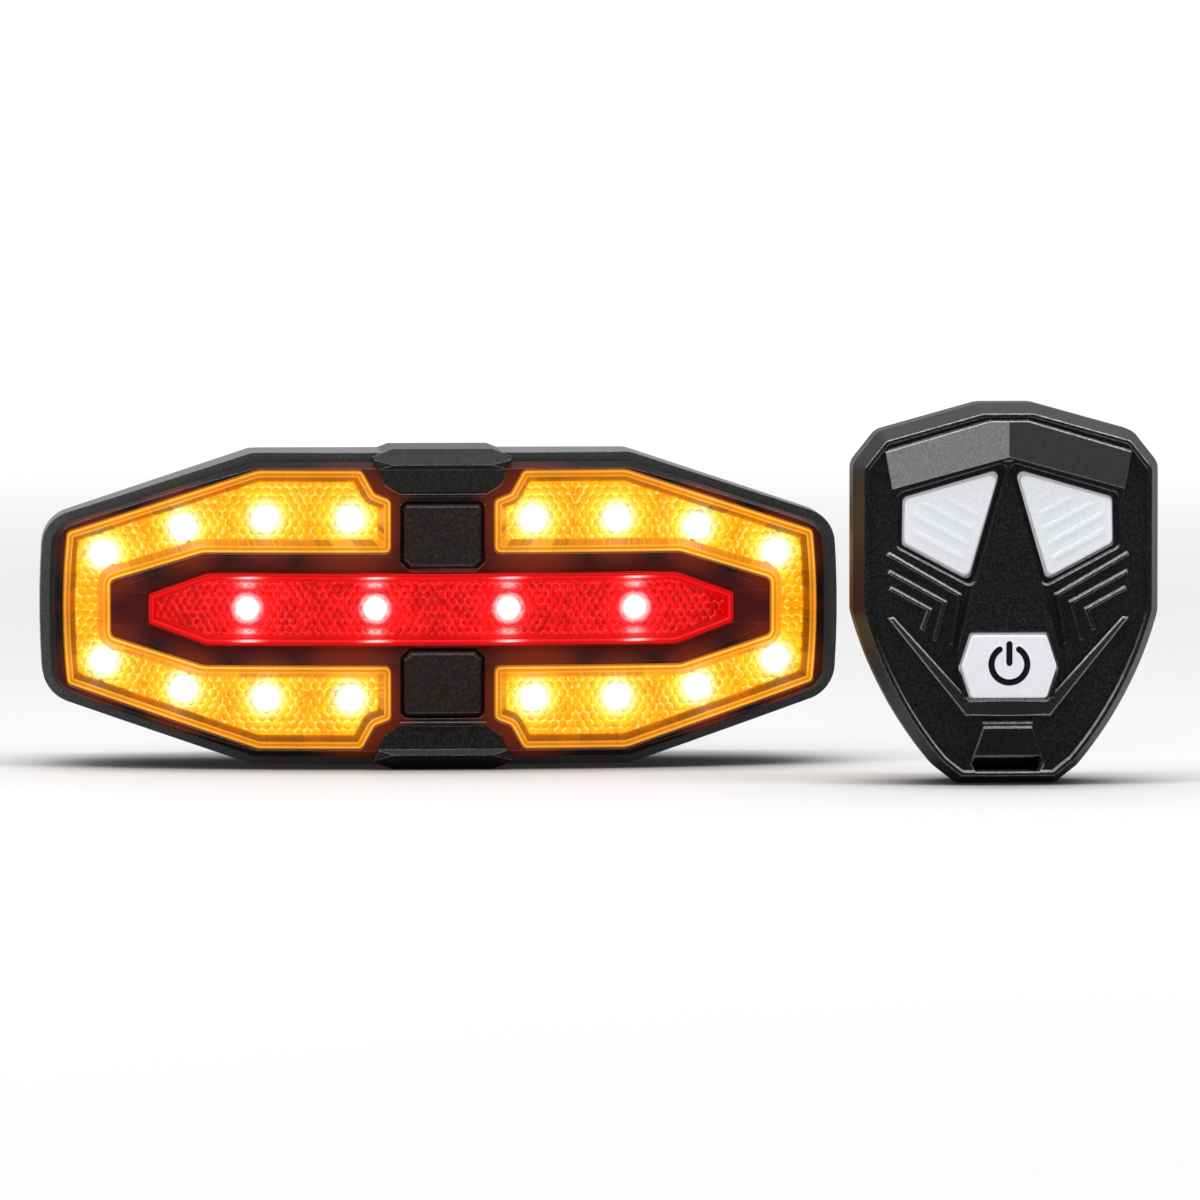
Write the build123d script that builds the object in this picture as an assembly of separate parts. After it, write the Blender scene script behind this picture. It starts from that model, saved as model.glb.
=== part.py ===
"""Wireless bicycle turn signal light: a tail lamp with amber and red windows, and its
handlebar remote standing beside it. Millimetres, X to the right, -Y to the front,
Z up. The origin is the middle of the flat foot that the lamp stands on."""
from build123d import *
from math import atan2, cos, degrees, radians, sin
import os

# Lamp outline, seen from the front, measured from its centre
lamp_length = 100.0
body_height = 39.0
top_flat_length = 47.2
shoulder_height = 21.8
end_bow = 0.5
end_corner_radius = 4.6
top_corner_radius = 3.0

# Lamp depth
bow_radius = 170.0
foot_depth = 15.6
ridge_chamfer_depth = 2.2
ridge_proud = 0.8
body_depth = 24.0
back_inset = 4.2
back_edge_chamfer = 1.2

# Lamp shells
housing_wall = 1.8
back_wall = 2.0
rim_band = 1.13
rim_setback = 2.6
cap_seat = 1.6
bezel_edge_chamfer = 0.75
seal_width = 0.5
seal_depth = 0.9

# Fits
seat_gap = 0.1
button_gap = 0.45
running_gap = 0.05
slide_gap = 0.3
overrun = 5.0

# Amber windows: how far they stay in from the outline, the cap, the pads and the tongue
amber_top_margin = 2.1
amber_flat_margin = 0.6
amber_side_margin = 3.3
amber_shoulder_margin = 1.4
amber_wing_margin = 1.4
amber_waist_margin = 1.25
amber_pad_margin = 1.58
amber_notch_drop = 2.9
amber_notch_end_drop = 3.7
tongue_land = 2.55
tongue_end = 4.7
tongue_end_flare = 1.65
tongue_bend = 0.5
amber_corner_radius = 0.8
amber_bend_radius = 3.0
lens_proud = 0.3
lens_plate = 1.2
lens_rim_chamfer = 0.45
lens_skirt = 1.6
lens_tail = 0.8
optic_thickness = 0.8

# Red window
red_half_length = 36.6
red_half_height = 4.5
red_flat_half = 29.3
red_tip_half = 1.85
red_corner_radius = 0.5
red_bend_radius = 3.0
red_sink = 0.7
funnel_width = 2.0
funnel_end_land = 0.5
red_rim_chamfer = 0.35
red_plate = 1.0
red_skirt = 0.9
red_optic_thickness = 0.6

# Caps at the ends of the spine
cap_proud = 0.5
cap_top_half = 6.2
cap_wing_half = 8.7
cap_wing_drop = 0.95
cap_waist_half = 7.25
cap_waist_drop = 4.35
cap_base_half = 5.4
cap_base_drop = 5.45
cap_ridge_drop = 1.9
cap_under_drop = 2.55
cap_under_step = 0.7
cap_lip_sink = 0.35
cap_plan_flat_half = 6.0
cap_plan_cut = 0.8

# Push pads in the spine
pad_half_width = 4.87
pad_top = 13.15
pad_bottom = 5.25
pad_upper_radius = 0.6
pad_lower_chamfer = 0.9
pad_flange = 0.9
pad_flange_thickness = 0.8
pad_travel = 0.6
pad_post_radius = 1.4
pad_edge_chamfer = 0.3
pad_well_depth = 0.35

# Circuit board and what it carries
board_setback = 11.4
board_thickness = 1.6
board_inset = 3.6
led_size = 3.5
led_height = 0.8
red_led_shares = (0.228, 0.6626)
amber_led_shares = ((0.229, 0.574), (0.44, 0.574), (0.644, 0.518), (0.842, 0.344))
cup_radius = 2.8
cup_sides = 8
switch_size = 4.5
switch_height = 3.2
plunger_radius = 1.0
plunger_stand = 0.9
switch_bore_depth = 1.7
switch_pad_height = 9.2
radio_size = (11.0, 9.0, 2.2)
radio_x = -30.2
battery_size = (40.0, 25.0)
battery_corner_radius = 1.5
battery_x = -3.5
battery_gap = 0.2
foam_thickness = 0.8
foam_share = 0.8

# Charging socket and its rubber cover
socket_x = 29.0
socket_width = 9.0
socket_height = 3.3
socket_shell = 0.35
socket_sink = 1.6
socket_tongue = 0.7
socket_tongue_width = 6.6
cover_length = 14.0
cover_height = 7.6
cover_thickness = 1.2
cover_anchor_width = 2.0
cover_anchor_foot = 1.0
cover_plug_depth = 0.9
cover_corner_radius = 1.5

# Screws and rear rail
screw_x = 39.0
screw_radius = 0.95
screw_head_radius = 1.8
screw_head_height = 1.2
screw_tip_setback = 8.8
screw_recess = 1.0
boss_radius = 2.9
post_radius = 2.1
rail_neck_half = 6.0
rail_head_half = 9.0
rail_neck_depth = 1.8
rail_head_depth = 1.9
rail_height = 24.0
rail_catch_width = 5.0
rail_catch_height = 2.5
rail_catch_from_top = 4.0

# Remote, seen from the front; its outline is shares of the half width and the height
remote_width = 37.6
remote_height = 46.8
remote_x = 68.0
remote_y = -32.0
remote_front = 6.6
remote_part_line = 1.0
remote_back = 6.0
remote_band_front = 2.5
remote_band_back = 3.0
remote_back_chamfer = 0.8
remote_side_inset = 1.15
remote_back_inset = 1.3
remote_wall = 1.5
remote_face_wall = 1.6
remote_back_wall = 2.1
remote_lip = 0.55
remote_lip_height = 0.45
remote_corner_radii = (3.0, 2.2, 2.2, 4.0, 1.5, 1.0)
crown_shares = (0.175, 1.0)
brow_corner_shares = (0.835, 0.926)
shoulder_shares = (1.0, 0.842)
hip_shares = (1.0, 0.452)
flank_middle_shares = (0.765, 0.218)
flank_end_shares = (0.47, 0.046)
foot_shares = (0.325, 0.0)

# Relief of the remote's face, in shares of the half width and the height
brow_shares = ((0.0, 0.957), (0.125, 0.957), (0.805, 0.876), (0.76, 0.778), (0.0, 0.862))
brow_crown = 1.5
brow_edge = 0.45
eye_shares = ((0.063, 0.822), (0.675, 0.751), (0.68, 0.637), (0.26, 0.547))
eye_radius = 0.75
eye_frame = 0.9
eye_frame_depth = 0.5
nose_shares = ((0.03, 0.852), (0.205, 0.56), (0.335, 0.355), (0.30, 0.23), (0.0, 0.23))
nose_top = 0.35
nose_base = 1.3
hex_tip_half = 5.85
hex_side_half = 4.6
hex_half_height = 3.85
hex_centre_height = 14.7
hex_radius = 0.5
jaw_shares = ((0.0, 0.182), (0.27, 0.182), (0.795, 0.44), (0.72, 0.40), (0.235, 0.222), (0.0, 0.222))
jaw_proud = 0.7
rib_shares = (
    ((0.775, 0.605), (0.32, 0.499), (0.37, 0.375)),
    ((0.77, 0.558), (0.415, 0.48), (0.48, 0.385)),
    ((0.76, 0.515), (0.515, 0.461), (0.56, 0.412)),
)
rib_width = 0.42
rib_proud = 0.4
notch_half_width = 3.05
notch_height = 0.85
notch_depth = 0.6
chin_shares = ((0.0, 0.152), (0.155, 0.152), (0.235, 0.064), (0.0, 0.064))
chin_proud = 0.35
slot_tip_half = 4.5
slot_side_half = 3.95
slot_height = 1.95
slot_centre_height = 2.62
slot_rise = 1.3
slot_land = 1.1

# Remote buttons
key_proud = 0.35
hex_proud = 0.8
key_gap = 0.25
key_flange = 0.7
key_flange_thickness = 0.7
key_travel = 0.45
key_post_radius = 1.1
key_edge_radius = 0.25
key_rib_count = 5
key_rib_shares = (0.568, 0.747)
key_rib_slope = 28.6
key_rib_pitch = 2.09
key_rib_width = 0.5
key_rib_proud = 0.22
key_rib_margin = 1.1

# Remote board, cell and door
remote_board_y = -0.9
remote_board_thickness = 1.0
remote_board_inset = 2.6
remote_switch_size = 3.6
remote_switch_height = 1.6
remote_plunger_radius = 0.8
remote_plunger_stand = 0.5
remote_bore_depth = 0.8
chip_size = (5.0, 5.0, 0.9)
chip_height_share = 0.78
cell_radius = 10.0
cell_thickness = 3.2
cell_rim = 1.2
cell_gap = 0.1
cell_step = 0.4
cell_height_share = 0.4808
contact_thickness = 0.25
contact_width = 5.0
contact_half_length = 4.5
clip_reach = 2.6
clip_height = 2.6
door_radius = 12.2
door_plate = 1.2
door_ring_inner = 10.25
door_ring_outer = 10.85
door_lug = 0.5
door_lug_depth = 0.7
door_lug_angle = 30.0
door_slot_length = 12.0
door_slot_width = 1.8
door_slot_depth = 0.7
door_turn = 60.0
seal_ring_section = 0.5
seal_ring_inner = 11.55
upper_screw_shares = (0.81, 0.812)
lower_screw_height = 7.0
remote_screw_sink = 0.3
remote_screw_radius = 0.7
remote_screw_head = 1.35
remote_screw_head_height = 0.8
remote_screw_length = 5.0
remote_boss_radius = 1.7
remote_shoulder = 0.7

# Places worked out from the sizes above
half_length = lamp_length / 2
body_half = body_height / 2
lamp_mid = body_half + cap_proud
front_y = -foot_depth / 2 - ridge_chamfer_depth + ridge_proud
axis_y = front_y + bow_radius
back_y = front_y + body_depth
taper_y = foot_depth / 2
board_y = front_y + board_setback
plate_radius = bow_radius - rim_setback
seat_radius = bow_radius - cap_seat
tail_radius = plate_radius - lens_tail
cavity_back = back_y - back_wall
screw_length = body_depth - screw_recess - screw_head_height - screw_tip_setback

lamp = Vector(0, 0, lamp_mid)
remote = Vector(remote_x, remote_y, 0)


def prism(face, y_rear, y_front, centre=lamp):
    """The solid of a face drawn in the front view, between two depths."""
    plane = Plane(origin=centre + Vector(0, y_rear, 0), x_dir=(1, 0, 0), z_dir=(0, -1, 0))
    return extrude(plane * face, amount=y_rear - y_front)


def polygon(points, radius=0):
    """A closed face through points, with its corners rounded."""
    face = make_face(Polyline(*points, close=True))
    return fillet(face.vertices(), radius) if radius else face


def mirrored(points):
    """Points of a right half, followed by those of the left half, all the way round."""
    return list(points) + [(-x, y) for x, y in reversed(points) if x]


def disc(x, y, radius):
    return Pos(x, y) * Circle(radius)


def both_ends(solid):
    """A piece above the lamp's middle and its mirror image below."""
    return solid, mirror(solid, about=Plane(origin=lamp, z_dir=(0, 0, 1)))


def both_sides(solid, centre=lamp):
    """A piece on the right of a centre and its mirror image on the left."""
    return solid, mirror(solid, about=Plane(origin=centre, z_dir=(1, 0, 0)))


def lamp_outline(inset=0):
    """The lamp's long octagon with bowed ends, drawn in by an inset."""
    side, flat = half_length - end_bow, top_flat_length / 2
    shoulder = shoulder_height / 2
    lines = Curve()
    for s in (1, -1):
        lines += ThreePointArc((s * side, -shoulder), (s * half_length, 0), (s * side, shoulder))
        lines += Polyline((side, s * shoulder), (flat, s * body_half),
                          (-flat, s * body_half), (-side, s * shoulder))
    face = make_face(lines)
    if inset:
        face = offset(face, -inset, kind=Kind.INTERSECTION)
    corners = face.vertices().sort_by(lambda v: abs(v.X))
    face = fillet(corners[-4:], max(end_corner_radius - inset, end_corner_radius / 4))
    corners = face.vertices().sort_by(lambda v: abs(v.X))
    return fillet(corners[:4], max(top_corner_radius - inset, top_corner_radius / 4))


def bowed(radius):
    """Everything behind the bowed surface of a radius about the lamp's upright axis."""
    return Pos(0, axis_y, lamp_mid) * Cylinder(radius, lamp_length)


def wrapped(face, front_radius, rear_radius):
    """A face of the front view, laid between two bowed surfaces."""
    return (prism(face, taper_y, front_y - overrun) & bowed(front_radius)) - bowed(rear_radius)


def front_face(solid):
    """The front one of a bowed plate's two large faces."""
    return solid.faces().sort_by(SortBy.AREA)[-2:].sort_by(Axis.Y)[0]


def lens_cup(face, hollow, front_radius, plate, rim):
    """A clear lens: a bowed plate with a bevelled rim, and a skirt behind it."""
    body = wrapped(face, front_radius, tail_radius)
    body = chamfer(front_face(body).edges(), rim)
    return body - wrapped(hollow, front_radius - plate, tail_radius - overrun)


def drawn_in(outline, start, end, inset, bevel, centre):
    """A block whose outline is drawn in between two depths, with a bevel round its end."""
    stations = [(start, 0), (end - bevel, inset * (end - bevel - start) / (end - start))]
    if bevel:
        stations.append((end, inset + bevel))
    sections = []
    for y, section_inset in stations:
        plane = Plane(origin=centre + Vector(0, y, 0), x_dir=(1, 0, 0), z_dir=(0, -1, 0))
        sections.append(plane * outline(section_inset))
    return loft(sections, ruled=True)


def rear_block(inset, rear_y, bevel=0):
    """The lamp's body behind its rim: straight, and then drawn in towards the back."""
    straight = prism(lamp_outline(inset), taper_y, front_y - overrun) & bowed(plate_radius)
    reach = back_inset * (rear_y - taper_y) / (back_y - taper_y)
    return straight + drawn_in(lambda more: lamp_outline(inset + more), taper_y, rear_y, reach, bevel, lamp)


def amber_window(grow=0):
    """The C-shaped right window: two arms joined at the outer end."""
    top, inner_side = body_half - amber_top_margin, pad_half_width + amber_pad_margin
    notch = [(cap_wing_half + amber_wing_margin, top),
             (cap_waist_half + amber_waist_margin, top - amber_notch_drop),
             (inner_side, top - amber_notch_end_drop)]
    base = red_half_height + tongue_land
    throat = [(inner_side, base), (red_flat_half + tongue_bend, base),
              (red_half_length + tongue_end, red_tip_half + tongue_end_flare)]
    upper = [(top_flat_length / 2 - amber_flat_margin, top)] + notch + throat
    lower = [(x, -z) for x, z in reversed(upper)]
    side, shoulder = half_length - amber_side_margin, shoulder_height / 2 - amber_shoulder_margin
    bowed_end = ThreePointArc((side, -shoulder), (side + end_bow, 0), (side, shoulder))
    face = make_face(Polyline((side, shoulder), *upper, *lower, (side, -shoulder)) + bowed_end)
    if grow:
        face = offset(face, grow, kind=Kind.INTERSECTION)
    bends = face.vertices().sort_by(Axis.X)[8:12]
    face = fillet(bends, amber_bend_radius)
    return fillet(face.vertices().sort_by(Axis.X)[:8] + face.vertices().sort_by(Axis.X)[-4:],
                  amber_corner_radius)


def red_window(grow=0):
    right = [(red_flat_half, red_half_height), (red_half_length, red_tip_half),
             (red_half_length, -red_tip_half), (red_flat_half, -red_half_height)]
    face = polygon(mirrored(right))
    if grow:
        face = offset(face, grow, kind=Kind.INTERSECTION)
    bends = face.vertices().sort_by(lambda v: abs(v.X))[:4]
    face = fillet(bends, red_bend_radius)
    return fillet(face.vertices().sort_by(lambda v: abs(v.X))[-4:], red_corner_radius)


def pad_outline(grow=0):
    """The upper push pad: rounded above and cut off at its lower corners."""
    corners = [(pad_half_width, pad_top), (pad_half_width, pad_bottom + pad_lower_chamfer),
               (pad_half_width - pad_lower_chamfer, pad_bottom)]
    face = polygon(mirrored(corners))
    upper = face.vertices().sort_by(Axis.Y)[-2:]
    face = fillet(upper, pad_upper_radius)
    return offset(face, grow) if grow else face


def box_face(x_half, z_low, z_high, x=0):
    return Pos(x, (z_low + z_high) / 2) * Rectangle(2 * x_half, z_high - z_low)


def cap_outline(grow=0):
    """The saddle over the upper end of the spine, from its top down to its base line."""
    top = body_half + cap_proud
    corners = [(cap_top_half, top), (cap_wing_half, top - cap_wing_drop),
               (cap_waist_half, top - cap_waist_drop), (cap_base_half, top - cap_base_drop)]
    face = polygon(mirrored(corners))
    return offset(face, grow, kind=Kind.INTERSECTION) if grow else face


pieces = {}


def make_housing():
    """The flared rear shell with its seal rebate, bosses, port recess and slide rail."""
    shell = rear_block(0, back_y, back_edge_chamfer) - rear_block(housing_wall, cavity_back)
    rebate = lamp_outline(housing_wall - seal_width)
    shell -= prism(rebate, taper_y, front_y - overrun) - bowed(plate_radius - seal_depth)
    boss_y = board_y + board_thickness + seat_gap
    head_y = back_y - screw_recess - screw_head_height
    for x in (-screw_x, screw_x):
        shell += prism(disc(x, 0, boss_radius), back_y - back_edge_chamfer, boss_y)
    for x in (-screw_x, screw_x):
        shell -= prism(disc(x, 0, screw_radius + running_gap), back_y, boss_y - overrun)
        shell -= prism(disc(x, 0, screw_head_radius + seat_gap), back_y + overrun, head_y)
    floor_y = back_y - cover_thickness
    recess = Pos(socket_x, 0) * Rectangle(cover_length + 2 * slide_gap, cover_height + 2 * slide_gap)
    shell -= prism(recess, back_y + overrun, floor_y)
    mouth = SlotOverall(socket_width + 2 * seat_gap, socket_height + 2 * seat_gap)
    shell -= prism(Pos(socket_shift(), 0) * mouth, back_y, cavity_back - overrun)
    foot = Pos(anchor_x(), 0) * Rectangle(cover_anchor_foot, cover_height / 2)
    shell -= prism(foot, back_y, cavity_back - overrun)
    return shell + make_rail()


def make_rail():
    """The upright T rail that slides into a seat post bracket, with its catch notch."""
    neck_end, head_end = rail_neck_depth, rail_neck_depth + rail_head_depth
    section = polygon(mirrored([(rail_neck_half, neck_end), (rail_head_half, neck_end),
                                (rail_head_half, head_end)][::-1] + [(rail_neck_half, -seat_gap)]))
    section = Plane(origin=(0, back_y, lamp_mid - rail_height / 2)) * section
    rail = extrude(section, amount=rail_height)
    rail = chamfer(rail.faces().sort_by(Axis.Y)[-1].edges(), rail_head_depth / 4)
    notch_z = rail_height / 2 - rail_catch_from_top
    notch = box_face(rail_catch_width / 2, notch_z - rail_catch_height, notch_z)
    return rail - prism(notch, back_y + head_end + overrun, back_y + neck_end)


def socket_shift():
    """The socket sits in the middle of the cover's swinging part."""
    return socket_x + cover_anchor_width / 2


def anchor_x():
    return socket_x - cover_length / 2 + cover_anchor_width / 2


def make_bezel():
    """The bowed front frame: one plate with every window, well and cap seat cut in it."""
    plate = wrapped(lamp_outline(rim_band), bow_radius, plate_radius)
    plate = chamfer(front_face(plate).edges(), bezel_edge_chamfer)
    plate -= wrapped(red_window(seat_gap), bow_radius + overrun, plate_radius - overrun)
    front = front_face(plate)
    plate = chamfer(front.inner_wires()[0].edges(), funnel_width, red_sink, reference=front)
    for end in both_sides(funnel_end()):
        plate -= end
    opening = wrapped(amber_window(seat_gap), bow_radius + overrun, plate_radius - overrun)
    for window in both_sides(opening):
        plate -= window
    above_pad = box_face(pad_half_width + button_gap, pad_top, body_half - cap_base_drop)
    well = pad_outline(button_gap) + above_pad
    shallow = wrapped(well, bow_radius + overrun, bow_radius - pad_well_depth)
    hole = wrapped(pad_outline(button_gap), bow_radius + overrun, plate_radius - overrun)
    seat = wrapped(cap_outline(seat_gap), bow_radius + overrun, seat_radius)
    for cut in both_ends(shallow + hole + seat):
        plate -= cut
    post_end = board_y + board_thickness
    pilot_y = back_y - screw_recess - screw_head_height - screw_length - seat_gap
    for x in (-screw_x, screw_x):
        post = prism(disc(x, 0, post_radius), post_end, front_y) & bowed(plate_radius)
        plate += post
    for x in (-screw_x, screw_x):
        plate -= prism(disc(x, 0, screw_radius + running_gap), post_end + overrun, pilot_y)
    return plate


def on_bow(x, z, radius):
    """A point of the lamp's front view, laid on a bowed surface."""
    return Vector(x, axis_y - (radius ** 2 - x ** 2) ** 0.5, lamp_mid + z)


def before(a, b, c):
    """A block that stands on the front side of the plane through three points."""
    across = (b - a).cross(c - a)
    plane = Plane(origin=a, x_dir=b - a, z_dir=across if across.Y < 0 else -across)
    return plane * Box(lamp_length, lamp_length, lamp_length, align=(Align.CENTER, Align.CENTER, Align.MIN))


def funnel_end():
    """The hipped end of the red window's funnel: a long slope between the two slanting ones."""
    fall, run = red_half_height - red_tip_half, red_half_length - red_flat_half
    out = Vector(fall, run).normalized()
    bend, tip = Vector(red_flat_half, red_half_height), Vector(red_half_length, red_tip_half)
    floor = bow_radius - red_sink
    places = [(bend + out * seat_gap, floor), (tip + out * seat_gap, floor),
              (tip + out * (seat_gap + funnel_width), bow_radius)]
    slants = both_ends(before(*[on_bow(place.X, place.Y, radius) for place, radius in places]))
    near, far = red_half_length + seat_gap, red_half_length + tongue_end - funnel_end_land
    slope = before(on_bow(near, 0, floor), on_bow(near, red_tip_half, floor), on_bow(far, 0, bow_radius))
    start = near - red_corner_radius
    reach = box_face((far - start) / 2, -body_half, body_half, (far + start) / 2)
    return prism(reach, taper_y, front_y - overrun) & slope & slants[0] & slants[1]


def make_cap():
    """The upper cap: its outline, side profile and plan, each cut by the other two."""
    top = body_half + cap_proud
    ridge_y, ridge_z = front_y - ridge_proud, top - cap_ridge_drop
    chamfer_y = ridge_y + ridge_chamfer_depth
    under_z, base_z = top - cap_under_drop, top - cap_base_drop
    side = [(taper_y, top), (chamfer_y, top), (ridge_y, ridge_z), (ridge_y + cap_under_step, under_z),
            (front_y + cap_lip_sink, base_z), (taper_y, base_z)]
    profile = Plane(origin=(-half_length, 0, lamp_mid), x_dir=(0, 1, 0), z_dir=(1, 0, 0)) * polygon(side)
    plan = [(cap_plan_flat_half, ridge_y), (cap_wing_half, ridge_y + cap_plan_cut),
            (cap_wing_half, taper_y)]
    plan_face = Plane(origin=(0, 0, 0)) * polygon(mirrored(plan))
    cap = prism(cap_outline(), taper_y, front_y - overrun)
    cap = cap & extrude(profile, amount=lamp_length) & extrude(plan_face, amount=lamp_length)
    cap -= rear_block(0, back_y)
    return cap - (prism(lamp_outline(rim_band), taper_y, front_y - overrun) & bowed(seat_radius))


def make_pad():
    """The upper push pad with its flange and the post that reaches the switch."""
    flange_front = plate_radius - seat_gap
    flange_back = flange_front - pad_flange_thickness
    pad = wrapped(pad_outline(), bow_radius, flange_front)
    pad = chamfer(front_face(pad).edges(), pad_edge_chamfer)
    reach = button_gap + pad_flange
    flange = box_face(pad_half_width + reach, pad_bottom, pad_top + reach)
    pad += wrapped(flange, flange_front, flange_back)
    post_y = board_y - switch_height - plunger_stand
    post = prism(disc(0, switch_pad_height, pad_post_radius), post_y, front_y) & bowed(flange_front)
    return pad + post


pieces["lamp_rear_housing"] = make_housing()
pieces["lamp_front_bezel"] = make_bezel()
pieces["top_cap"], pieces["bottom_cap"] = both_ends(make_cap())
pieces["lamp_power_button"], pieces["lamp_mode_button"] = both_ends(make_pad())
seal_face = lamp_outline(housing_wall - seal_width) - lamp_outline(housing_wall)
pieces["lamp_seal"] = wrapped(seal_face, plate_radius, plate_radius - seal_depth)
amber_lens = lens_cup(amber_window(), amber_window(-lens_skirt), bow_radius + lens_proud,
                      lens_plate, lens_rim_chamfer)
pieces["right_amber_lens"], pieces["left_amber_lens"] = both_sides(amber_lens)
pieces["red_lens"] = lens_cup(red_window(), red_window(-red_skirt), bow_radius - red_sink,
                              red_plate, red_rim_chamfer)


def amber_spots():
    return [(x * half_length, s * z * body_half) for x, z in amber_led_shares for s in (1, -1)]


def red_spots():
    return [(s * share * red_half_length, 0) for share in red_led_shares for s in (1, -1)]


def make_tray():
    """The reflector tray: a bowed block with an eight sided light cup for every LED."""
    tray = prism(lamp_outline(housing_wall + seat_gap), board_y, front_y) & bowed(tail_radius)
    cups = Sketch()
    cup = RegularPolygon(cup_radius, cup_sides)
    for x, z in amber_spots():
        cups += [Pos(x, z) * cup, Pos(-x, z) * cup]
    for x, z in red_spots():
        cups += Pos(x, z) * cup
    for x in (-screw_x, screw_x):
        cups += disc(x, 0, post_radius + seat_gap)
    reach = button_gap + pad_flange + slide_gap
    for s in (1, -1):
        well = box_face(pad_half_width + reach, pad_bottom - slide_gap, pad_top + reach)
        cups += well if s > 0 else mirror(well, about=Plane.XZ)
    return tray - prism(cups, board_y + overrun, front_y - overrun)


def make_board():
    board = prism(lamp_outline(board_inset), board_y + board_thickness, board_y)
    for x in (-screw_x, screw_x):
        board -= prism(disc(x, 0, post_radius + seat_gap), board_y + overrun, board_y - overrun)
    return board


def leds(spots):
    """One square LED on the board's front at each spot."""
    return [prism(Pos(x, z) * Rectangle(led_size, led_size), board_y, board_y - led_height)
            for x, z in spots]


def tact_switch(place, size, height, bore, bore_depth, mount_y, centre):
    """A switch body with the bore that its plunger slides in."""
    body = prism(Pos(*place) * Rectangle(size, size), mount_y, mount_y - height, centre)
    front = mount_y - height
    return body - prism(disc(*place, bore + running_gap), front + bore_depth, front - overrun, centre)


def plunger(place, radius, stand, tail, switch_front, centre):
    return prism(disc(*place, radius), switch_front + tail, switch_front - stand, centre)


def make_socket():
    """The charging socket: an oval shell closed at the board, with a tongue inside."""
    board_back = board_y + board_thickness
    mouth = back_y - cover_thickness
    at = Pos(socket_shift(), 0)
    outer = at * SlotOverall(socket_width, socket_height)
    inner = at * SlotOverall(socket_width - 2 * socket_shell, socket_height - 2 * socket_shell)
    tongue = at * Rectangle(socket_tongue_width, socket_tongue)
    socket = prism(outer, mouth, board_back) - prism(inner, mouth + overrun, board_back + socket_shell)
    return socket + prism(tongue, mouth - socket_sink, board_back)


def hinge_x():
    """Where the port cover bends: beside its fixed anchor, in the middle of its thickness."""
    return socket_x - cover_length / 2 + cover_anchor_width + seat_gap + cover_thickness / 2


def make_port_cover():
    """The swinging part of the rubber cover, its round bending edge and its plug."""
    end_x, half = socket_x + cover_length / 2, cover_height / 2
    flap = Pos((hinge_x() + end_x) / 2, 0) * Rectangle(end_x - hinge_x(), cover_height)
    flap = fillet(flap.vertices().sort_by(Axis.X)[-2:], cover_corner_radius)
    cover = prism(flap, back_y, back_y - cover_thickness)
    bead = Cylinder(cover_thickness / 2, cover_height)
    cover += Pos(hinge_x(), back_y - cover_thickness / 2, lamp_mid) * bead
    margin = 2 * (socket_shell + slide_gap)
    plug = Pos(socket_shift(), 0) * SlotOverall(socket_width - margin, socket_height - margin)
    return cover + prism(plug, back_y, back_y - cover_thickness - cover_plug_depth)


def make_port_anchor():
    """The fixed end of the rubber cover, with the foot pressed through the back wall."""
    strip = Pos(anchor_x(), 0) * Rectangle(cover_anchor_width, cover_height)
    foot = Pos(anchor_x(), 0) * Rectangle(cover_anchor_foot - running_gap, cover_height / 2 - running_gap)
    floor_y = back_y - cover_thickness
    return prism(strip, back_y, floor_y) + prism(foot, floor_y, cavity_back)


def screw(place, head_rear, head_radius, head_height, radius, length, centre):
    """A pan head screw driven from behind."""
    head = prism(disc(*place, head_radius), head_rear, head_rear - head_height, centre)
    shaft = prism(disc(*place, radius), head_rear, head_rear - head_height - length, centre)
    return head + shaft


pieces["reflector_tray"] = make_tray()
pieces["lamp_circuit_board"] = make_board()
amber_optic = wrapped(amber_window(-lens_skirt - seat_gap), tail_radius + optic_thickness, tail_radius)
pieces["right_amber_optic"], pieces["left_amber_optic"] = both_sides(amber_optic)
pieces["red_optic"] = wrapped(red_window(-red_skirt - seat_gap),
                              tail_radius + red_optic_thickness, tail_radius)
pieces["right_amber_leds"] = leds(amber_spots())
pieces["left_amber_leds"] = leds([(-x, z) for x, z in amber_spots()])
pieces["red_leds"] = leds(red_spots())
lamp_switch_front = board_y - switch_height
pieces["lamp_switches"] = [
    tact_switch((0, s * switch_pad_height), switch_size, switch_height, plunger_radius,
                switch_bore_depth, board_y, lamp) for s in (1, -1)]
for name, s in (("power_switch_plunger", 1), ("mode_switch_plunger", -1)):
    tail = switch_bore_depth - pad_travel - seat_gap
    pieces[name] = plunger((0, s * switch_pad_height), plunger_radius, plunger_stand, tail,
                           lamp_switch_front, lamp)
board_back = board_y + board_thickness
radio_face = Pos(radio_x, 0) * Rectangle(radio_size[0], radio_size[1])
pieces["radio_module"] = prism(radio_face, board_back + radio_size[2], board_back)
battery_face = Pos(battery_x, 0) * RectangleRounded(*battery_size, battery_corner_radius)
battery_back = cavity_back - foam_thickness
pieces["lamp_battery"] = prism(battery_face, battery_back, board_back + battery_gap)
foam_face = Pos(battery_x, 0) * Rectangle(*(foam_share * side for side in battery_size))
pieces["battery_foam"] = prism(foam_face, cavity_back, battery_back)
pieces["charge_socket"] = make_socket()
pieces["charge_port_cover"] = make_port_cover()
pieces["port_cover_anchor"] = make_port_anchor()
pieces["housing_screws"] = [
    screw((x, 0), back_y - screw_recess, screw_head_radius, screw_head_height, screw_radius,
          screw_length, lamp) for x in (-screw_x, screw_x)]


def on_face(share):
    """A place on the remote's face from its shares of the half width and the height."""
    return share[0] * remote_width / 2, share[1] * remote_height


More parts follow.
